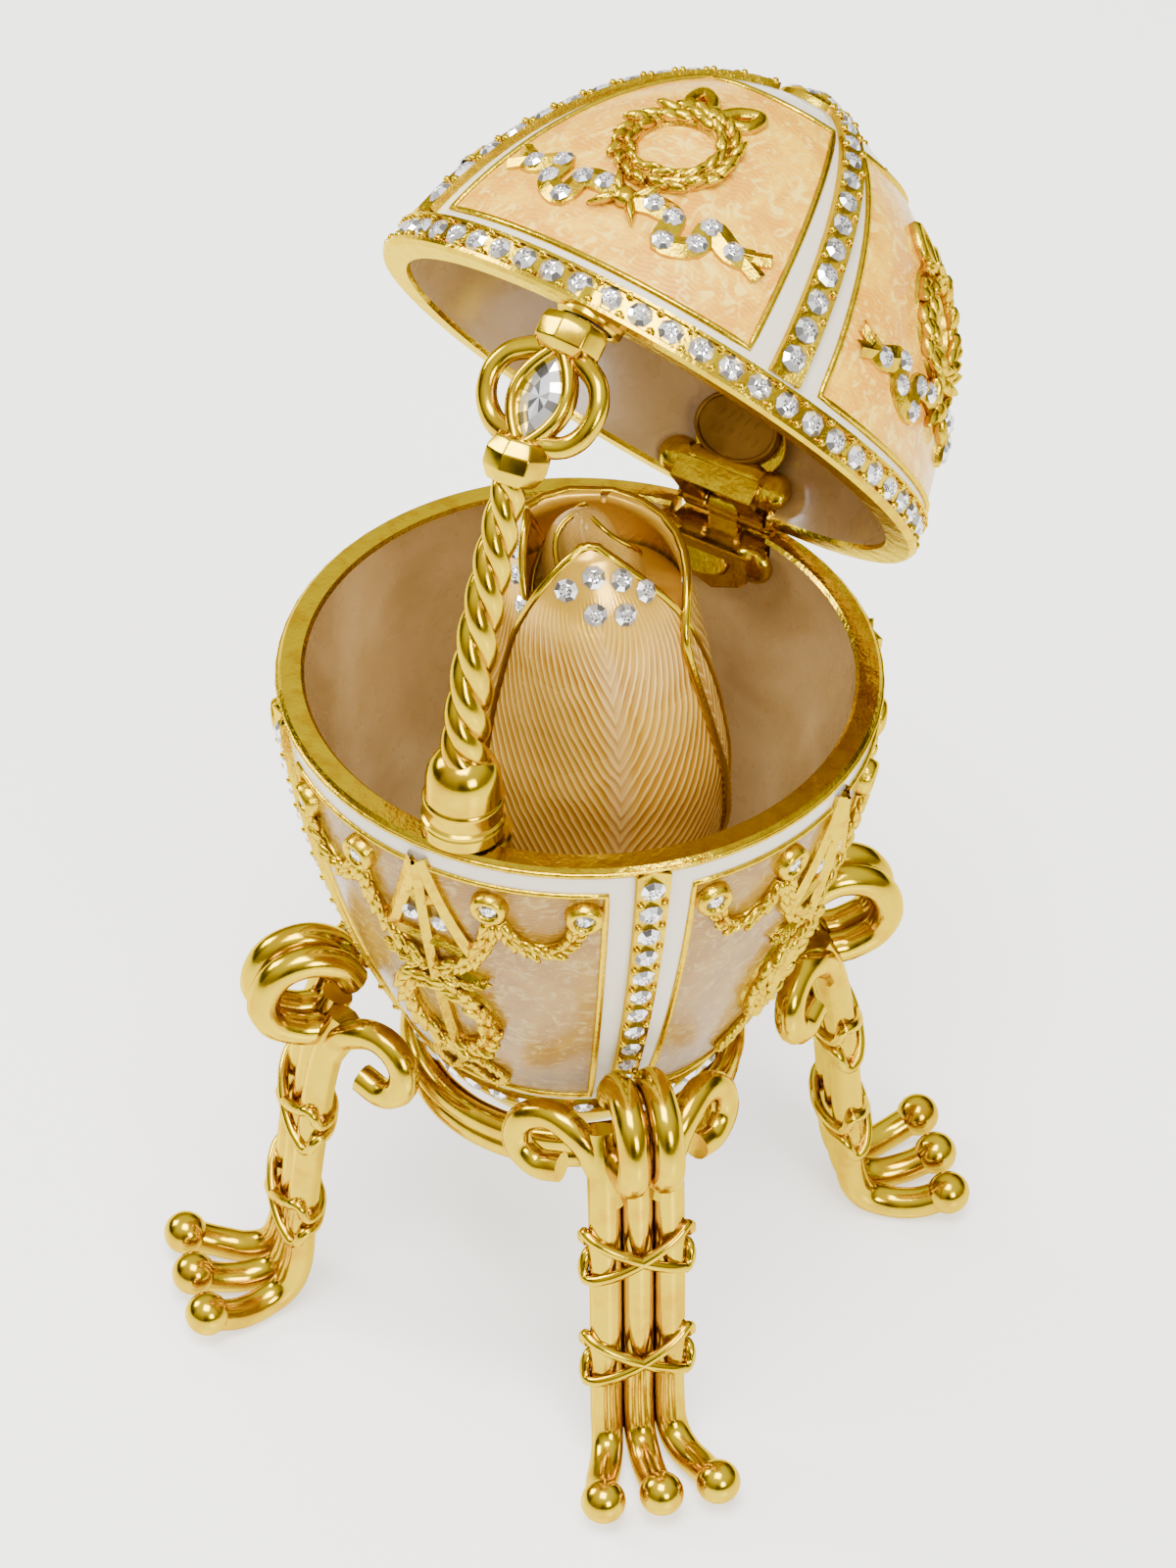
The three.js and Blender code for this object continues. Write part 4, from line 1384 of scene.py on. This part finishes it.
def petal(bearing, half_angle, foot, top, swell, flare, lift, widest, tip, rows=40, columns=24):
    """A sheet on the bud, its rim line, and a UV map: u across from -1 to 1 (kept as 0 to 1), v along."""
    nothing_selected()
    bpy.ops.mesh.primitive_grid_add(x_subdivisions=columns, y_subdivisions=rows, size=1, calc_uvs=True)
    obj = bpy.context.object

    def spot(across, part, sink=0.0):
        along = min(1 - (1 - part) ** 1.6, 0.9999)
        turn = math.radians(bearing + half_angle * across * petal_width(along, widest, tip))
        lip = flare * along ** 5 + lift * abs(across) ** 6
        ridge = 0.25 * math.exp(-(across / 0.05) ** 2) * (1 - along)
        height = foot + (top - foot) * along
        inwards = COLLAR_R - bud_radius(height)
        open_cup = 0.5 * (inwards + math.sqrt(inwards ** 2 + 0.8))
        return bud_point(turn, height + sink, swell + lip + ridge + open_cup - sink)

    for vertex in obj.data.vertices:
        vertex.co = spot(2 * vertex.co.x, vertex.co.y + 0.5)
    obj.data.update()
    edge = [spot(-1, k / 34, 0.22) for k in range(3, 35)]
    edge += [spot(1, k / 34, 0.22) for k in reversed(range(3, 34))]
    return smoothed(modified(obj, "SOLIDIFY", thickness=0.5 * MM, offset=-1), 60), edge


print("a petal keeps", COLLAR_R, "mm from the bud's middle")

# %% [markdown]
# The petals are cream enamel over engraved veins, which run out and up from the midrib, and turn gold
# at the tips. The veins follow the petal and not the room, so the finish reads the petal's UV map. A
# sine of both its counts draws the lines, and a slow noise bends them a little.

# %% Petal enamel
def petal_enamel():
    petal_skin = Finish("veined cream enamel", Coat_Weight=0.3, Coat_Roughness=0.08, Specular_IOR_Level=0.3)
    uv = petal_skin.add("ShaderNodeTexCoord", output="UV")
    u, v, _ = split(petal_skin, uv)
    aside = (u - 0.5).do("ABSOLUTE") * 2
    along = 1 - (1 - v).do("POWER", 1.6)
    drift = petal_skin.noise(120, 3, distortion=1)
    veins = ((along * 190 - aside * 100 + drift * 7).do("SINE") + 1) * 0.5
    ground = petal_skin.mix(drift.between(0.35, 0.7), (0.44, 0.20, 0.008), (0.60, 0.32, 0.03))
    color = petal_skin.mix(veins.between(0.55, 1.0) * 0.7, ground, (0.95, 0.66, 0.16))
    rib = 1 - aside.between(0.03, 0.11)
    color = petal_skin.mix(rib * 0.6, color, (0.68, 0.42, 0.12))
    color = petal_skin.mix(along.between(0.80, 0.94), color, (0.72, 0.42, 0.03))
    petal_skin.set(Base_Color=color, Metallic=0.2 + 0.3 * along.between(0.80, 0.94))
    petal_skin.set(Roughness=0.2 + 0.12 * drift)
    petal_skin.bump(veins * (1 - along.between(0.85, 0.95)) + drift, 0.6, 0.18 * MM)
    return petal_skin.material


petal_skin = petal_enamel()
body = bud_body()
ride(body, "base", "rosebud", finish=petal_skin, name="rosebud_body", slot="cream_enamel")
print("bud body:", len(body.data.polygons), "faces, in", petal_skin.name)

# %% [markdown]
# Three outer petals lap over each other: a pointed one in front, one at the left, and a broad low one
# that goes half way round the back. Each has a rounded gold rim, a rod along its edge.

# %% Outer petals
#          bearing, half angle, foot, top, swell, flare, lift, widest, tip
PETALS = [(-52, 71, -38, 19.2, 0.9, 0.1, 0, 0.52, 2.4), (108, 113, -38, 15.6, 0.1, 0.3, 1.3, 0.84, 2.2),
          (-152, 62, -38, 18.4, 0.1, 0.4, 0.1, 0.6, 2.8)]
sheets, rims, edges = [], [], []
for values in PETALS:
    sheet, edge = petal(*values)
    sheets.append(sheet)
    edges.append(edge)
    rims.append(rod(edge, 0.46 * MM, 1, 2))
print("outer petals:", len(sheets))

# %% [markdown]
# Inside them the youngest petals are still furled. They are one blunt turned cone, whose radius grows
# round each of three folds and drops back at its edge, as a rolled cloth does. A thin gold rod winds
# up each of the edges.

# %% Furled heart
HEART_FOOT, HEART_TOP = 6, 19.8


def heart_radius(turn, height):
    """The furled middle is a blunt cone; three folds wind round it, each lapping over the next."""
    share = (height - HEART_FOOT) / (HEART_TOP - HEART_FOOT)
    fold = (3 * turn / math.tau + 1.1 * share) % 1
    return 6.2 * max(1 - share ** 2.4, 0) ** 0.55 * (0.74 + 0.26 * fold), fold


def heart_point(turn, height, out=0.0):
    middle = 0.5 * (bud_point(0, height) + bud_point(math.pi, height))
    radius = heart_radius(turn, height)[0] + out
    return middle + in_mm(radius * math.cos(turn), radius * math.sin(turn), 0)


def heart():
    reach = HEART_TOP - HEART_FOOT
    heights = [HEART_FOOT + reach * (1 - (1 - k / 22) ** 1.7) for k in range(22)]
    cone = turned([(0, HEART_FOOT * MM)] + [(MM, z * MM) for z in heights] + [(0, HEART_TOP * MM)], 72)
    turns = {}
    for vertex in cone.data.vertices:
        z = vertex.co.z / MM
        turn = math.atan2(vertex.co.y, vertex.co.x) % math.tau
        if math.hypot(vertex.co.x, vertex.co.y) < 0.5 * MM:
            turn, vertex.co = 0, heart_point(0, z) * 0.5 + heart_point(math.pi, z) * 0.5
        else:
            vertex.co = heart_point(turn, z)
        turns[vertex.index] = (heart_radius(turn, z)[1], 0.25 + 0.4 * (z - HEART_FOOT) / reach)
    uv = cone.data.uv_layers[0] if cone.data.uv_layers else cone.data.uv_layers.new(name="UVMap")
    for loop in cone.data.loops:
        uv.data[loop.index].uv = turns[loop.vertex_index]
    return smoothed(cone, 60)


sheets.append(heart())
climb = [0.2 + 0.78 * i / 22 for i in range(23)]
for k in range(3):
    fold = [(math.tau / 3 * (k + 0.985 - 1.1 * t), HEART_FOOT + (HEART_TOP - HEART_FOOT) * t) for t in climb]
    rims.append(rod([heart_point(turn, z, -0.1) for turn, z in fold], 0.3 * MM, 1, 2))
petals = ride(joined("rosebud petals", sheets), "base", finish=petal_skin, slot="cream_enamel")
petal_rims = ride(joined("petal rims", rims), "base", finish=polished_gold)
print("petals:", len(petals.data.polygons), "faces, their rims:", len(petal_rims.data.polygons))

# %% [markdown]
# Six stones cluster near the front petal's tip, and a row follows the lower rim behind. They are set
# by their bearing and height on the bud. A line of beads runs up one edge of the back petal.

# %% Stones and beads on the bud
def on_bud(bearing, height, swell):
    turn = math.radians(bearing)
    here, above, beside = (bud_point(turn + a, height + h, swell) for a, h in ((0, 0), (0, 0.5), (0.05, 0)))
    along, side = (above - here).normalized(), (beside - here).normalized()
    out = side.cross(along).normalized()
    return Matrix.Translation(here) @ Matrix((along.cross(out), along, out)).transposed().to_4x4()


FRONT_STONES = (-72, 16.3), (-51, 17.4), (-31, 16.8), (-17, 15.2), (-54, 14.4), (-36, 14.0)
SIDE_STONES = (-119, 15), (-108, 12.6), (-132, 16.6), (24, 11.6), (46, 13.2), (68, 13.6), (90, 13.8)
bud_stones = [(on_bud(b, z, 1.35), 1.25 * MM) for b, z in FRONT_STONES]
bud_stones += [(on_bud(b, z, 0.6), 1.1 * MM) for b, z in SIDE_STONES]
set_stones("bud stones", "base", bud_stones)
bead_line = edges[1][:21]
bead_spots = [Matrix.Translation(a.lerp(b, t)) for a, b in zip(bead_line, bead_line[1:]) for t in (0, 0.5)]
beads("petal beads", "base", bead_spots, 0.5 * MM)

# %% [markdown]
# ## The hinge
#
# The hinge leaves are cast plates that are soldered behind the walls, and one pin holds them together.
# The pin is a little askew, as on many hand-made boxes, so all its parts are drawn straight and then
# turned into the pin's own place. Plates are extruded outlines with bevelled edges, and knuckles are
# turned tubes.

# %% Hinge tools
PIN_YAW, PIN_TILT = math.radians(-3.6), math.radians(3)
PIN_FRAME = (Matrix.Translation(AXIS + Vector((0, 0, RIM)) + in_mm(0, 29.2, 0.56))
             @ Matrix.Rotation(PIN_YAW, 4, "Z") @ Matrix.Rotation(-PIN_TILT, 4, "Y"))


def on_pin(obj):
    obj.matrix_world = PIN_FRAME @ obj.matrix_world
    return settle(obj)


def scaled(points):
    return [(a * MM, b * MM) for a, b in points]


def knuckle(low, high):
    part = turned([(0.62 * MM, low * MM), (1.3 * MM, low * MM), (1.45 * MM, (low + 0.15) * MM),
                   (1.45 * MM, (high - 0.15) * MM), (1.3 * MM, high * MM), (0.62 * MM, high * MM)], 32)
    part.data.transform(Matrix.Rotation(math.radians(90), 4, "Y"))
    return smoothed(part, 35)


def upright_plate(outline, front, back, edge=0.15):
    part = plate(scaled(outline), -back * MM, -front * MM)
    part.data.transform(Matrix.Rotation(math.radians(90), 4, "X"))
    return bevelled(part, edge * MM)


def sideways_plate(outline, left, right, edge=0.12):
    part = plate(scaled(outline), left * MM, right * MM)
    move_each(part, lambda p: Vector((p.z, p.x, p.y)))
    return bevelled(part, edge * MM)


def oval(width, height, count=40):
    return [(0.5 * width * math.cos(math.tau * k / count), 0.5 * height * math.sin(math.tau * k / count))
            for k in range(count)]


print("the pin is", round(abs(math.degrees(PIN_YAW)), 1), "degrees askew")

# %% [markdown]
# The base's leaf is a shield behind the wall, with a shelf and a neck that carries the middle knuckle.
# A polished oval and two solder lumps lie on it.

# %% The base's leaf
SHIELD = [(-5.4, -1.85), (-5.4, -4.4), (-4.9, -5.0), (-3.6, -5.8), (0.8, -7.4), (4.2, -6), (5.1, -5.1),
          (5.4, -4.6), (5.4, -1.85)]
shield = upright_plate(SHIELD, -4.7, -3.7)
shelf = sideways_plate([(-4.6, -2.65), (0.4, -2.65), (0.4, -1.85), (-4.6, -1.85)], -5.4, 5.4)
neck = sideways_plate([(-1.3, -2.6), (1.1, -2.6), (1.1, -0.9), (-1.3, -0.9)], -1.75, 1.75)
seal = upright_plate(oval(6.6, 3.0), -0.5, 0.9, 0.15)
seal.data.transform(Matrix.Translation(in_mm(-0.4, -4.7, -4.0)) @ Matrix.Rotation(math.radians(-32), 4, "X"))
lumps = [ball(r * MM, in_mm(x, y, z), 20, 12, (1.3, 0.7, 1.2)) for x, y, z, r in
         ((-5.2, -3.6, -3.2, 1.8), (5.2, -3.6, -3.2, 1.8))]
base_leaf = joined("base hinge casting", [shield, shelf, neck, seal, knuckle(-1.8, 1.8)] + lumps)
ride(on_pin(base_leaf), "base", "base_hinge_leaf", finish=hammered_gold)
print("base's leaf:", len(base_leaf.data.polygons), "faces")

# %% [markdown]
# The lid's leaf has two arms with a knuckle each, one on either side of the base's, and a bridge
# between them. The pin is a turned rod with a head at both ends.

# %% The lid's leaf and the pin
ARM = [(-0.4, -0.9), (1, 0.9), (-1.4, 1.15), (-4.1, 1.3), (-5, 2.0), (-5.9, 2.0), (-5.6, -0.6), (-3, -0.75)]
arms = [sideways_plate(ARM, 2.15, 4.9), sideways_plate(ARM, -4.9, -2.15)]
bridge = sideways_plate([(-5.9, 2.0), (-5.0, 2.0), (-3.9, 1.3), (-3.4, 0.2), (-5.6, -0.6)], -2.3, 2.3)
lumps = [ball(r * MM, in_mm(x, y, z), 20, 12, (w, 0.7, 1.1)) for x, y, z, r, w in
         ((-5.6, -4.2, 2.0, 1.9, 1.2), (5.6, -4.2, 2.0, 1.9, 1.2), (0.2, -4.6, 2.6, 1.6, 3.4))]
lid_leaf = joined("lid hinge casting", arms + [bridge, knuckle(2.1, 4.9), knuckle(-4.9, -2.1)] + lumps)
ride(opened(on_pin(lid_leaf)), "lid", "lid_hinge_leaf", finish=hammered_gold)

pin_half = [(0, 5.8), (0.8, 5.8), (1.15, 5.6), (1.15, 5.2), (0.6, 5.2)]
pin_rod = turned(scaled([(r, -z) for r, z in pin_half] + pin_half[::-1]), 24)
pin_rod.data.transform(Matrix.Rotation(math.radians(90), 4, "Y"))
ride(on_pin(smoothed(pin_rod, 35)), "base", "hinge_pin", finish=polished_gold, name="hinge_pin_rod")
print("lid's leaf:", len(lid_leaf.data.polygons), "faces, pin:", len(pin_rod.data.polygons))

# %% [markdown]
# Over the lid's leaf sits an oval plate of darkened gold with a raised edge. It stands on a mount of
# bright gold. It is left bare, apart from two rows of shallow strokes, which are thin rods sunk half
# into the plate.

# %% Oval plaque
antique = Finish("antique gold", Metallic=1.0)
wear = antique.noise(160, 4)
antique.set(Base_Color=antique.mix(wear.between(0.3, 0.7), (0.16, 0.075, 0.008), (0.30, 0.16, 0.03)))
antique.set(Roughness=0.38 + 0.15 * antique.noise(600, 2))
antique.bump(wear, 0.3, 0.1 * MM)
PLAQUE = PIN_FRAME @ Matrix.Translation(in_mm(-0.2, -5.9, 6.45)) @ Matrix.Rotation(math.radians(13), 4, "X")
disc = upright_plate(oval(9.8, 7.4, 56), -0.35, 0.5, 0.2)
brim = rod([in_mm(x, -0.35, z) for x, z in oval(9.2, 6.84, 32)], 0.28 * MM, 2, 2, ring=True)
strokes = []
for row, count in ((1.0, 5), (-0.8, 6)):
    for k in range(count):
        x = (k - 0.5 * (count - 1)) * 1.05
        ends = [in_mm(x + 0.2 * s, -0.36, row + 0.45 * s) for s in (-1, 1)]
        strokes.append(rod(ends, 0.1 * MM, 1, 1))
mount = upright_plate([(x + 0.5, z - 1.1) for x, z in oval(10.6, 8.0, 48)], 0.55, 1.3, 0.2)
mount.matrix_world = PLAQUE
ride(opened(settle(mount)), "lid", finish=hammered_gold, name="plaque_mount")
plaque = joined("darkened plaque", [disc, brim] + strokes)
plaque.matrix_world = PLAQUE
ride(opened(settle(plaque)), "lid", "oval_plaque", finish=antique.material, slot="antique_gold")
print("plaque:", len(plaque.data.polygons), "faces, with", len(strokes), "strokes")

# %% [markdown]
# ## Floor and light
#
# The box stands on a pale floor in soft studio light. Gold shows what it mirrors, so the room itself
# is made of broad bright lamps with dark gaps between them. Three square lamps add the soft shadows.

# %% Studio
def studio():
    nothing_selected()
    bpy.ops.mesh.primitive_plane_add(size=6, location=(0, 0, 0))
    floor = bpy.context.object
    floor.name = "studio floor"
    paper = Finish("pale floor", Roughness=0.22, Base_Color=(0.90, 0.89, 0.87))
    paper.set(Emission_Color=(1.0, 0.99, 0.97), Emission_Strength=0.95)
    floor.data.materials.append(paper.material)


class Surround(Finish):
    """The room's light: bright overhead and low down, with a dark band and gaps between the lamps."""

    def __init__(self):
        world = bpy.context.scene.world or bpy.data.worlds.new("studio")
        bpy.context.scene.world = world
        world.use_nodes = True
        self.tree = world.node_tree
        self.shader = self.tree.nodes["Background"]
        x, y, z = split(self, self.add("ShaderNodeTexCoord", output="Generated"))
        height = z.between(0.1, 0.8)
        gaps = ((y.do("ARCTAN2", x) * 3 + 0.7).do("SINE") + 1) * 0.5
        gaps = gaps.between(0.35, 0.65) * (1 - height) + height
        light = 0.05 + 1.4 * gaps * (0.30 + 0.70 * height)
        tone = self.mix(light.between(0.1, 1.5), (0.80, 0.62, 0.40), (1.0, 0.99, 0.97))
        self.set(Color=tone, Strength=light)


def softbox(name, place, aim, size, power):
    nothing_selected()
    bpy.ops.object.light_add(type="AREA", location=place)
    lamp = bpy.context.object
    lamp.name = name
    lamp.data.shape, lamp.data.size, lamp.data.energy = "SQUARE", size, power
    direction = Vector(aim) - Vector(place)
    lamp.rotation_euler = direction.to_track_quat("-Z", "Y").to_euler()


studio()
Surround()
MIDDLE = (0, 0, 0.07)
softbox("key", (0.1, -0.25, 0.9), MIDDLE, 0.45, 14)
softbox("fill", (0.75, -0.45, 0.45), MIDDLE, 0.3, 6.5)
softbox("side", (-0.7, -0.1, 0.5), MIDDLE, 0.3, 6.5)

# %% [markdown]
# ## The camera
#
# The camera looks down on the box from the front right, with a long lens from 60 cm, as for a
# catalogue. It is placed by two angles and a distance from its target, and rolled by about a degree.

# %% Camera
AZIMUTH, ELEVATION, ROLL = math.radians(30.59), math.radians(41.84), math.radians(1.27)
DISTANCE = 600 * MM
LENS = 136.5


def camera():
    away = Vector((math.sin(AZIMUTH) * math.cos(ELEVATION), -math.cos(AZIMUTH) * math.cos(ELEVATION),
                   math.sin(ELEVATION)))
    right = Vector((math.cos(AZIMUTH), math.sin(AZIMUTH), 0))
    up = away.cross(right)
    rolled = right * math.cos(ROLL) + up * math.sin(ROLL)
    upright = up * math.cos(ROLL) - right * math.sin(ROLL)
    target = AXIS + right * 1.04 * MM + Vector((0, 0, 65.5 * MM))
    nothing_selected()
    bpy.ops.object.camera_add(location=target + away * DISTANCE)
    view = bpy.context.object
    view.matrix_world = Matrix.Translation(view.location) @ Matrix((rolled, upright, away)).transposed().to_4x4()
    view.data.lens = LENS
    view.data.clip_start = 0.01
    bpy.context.scene.camera = view


camera()
print("camera", round(DISTANCE / MM), "mm away, lens", LENS, "mm")
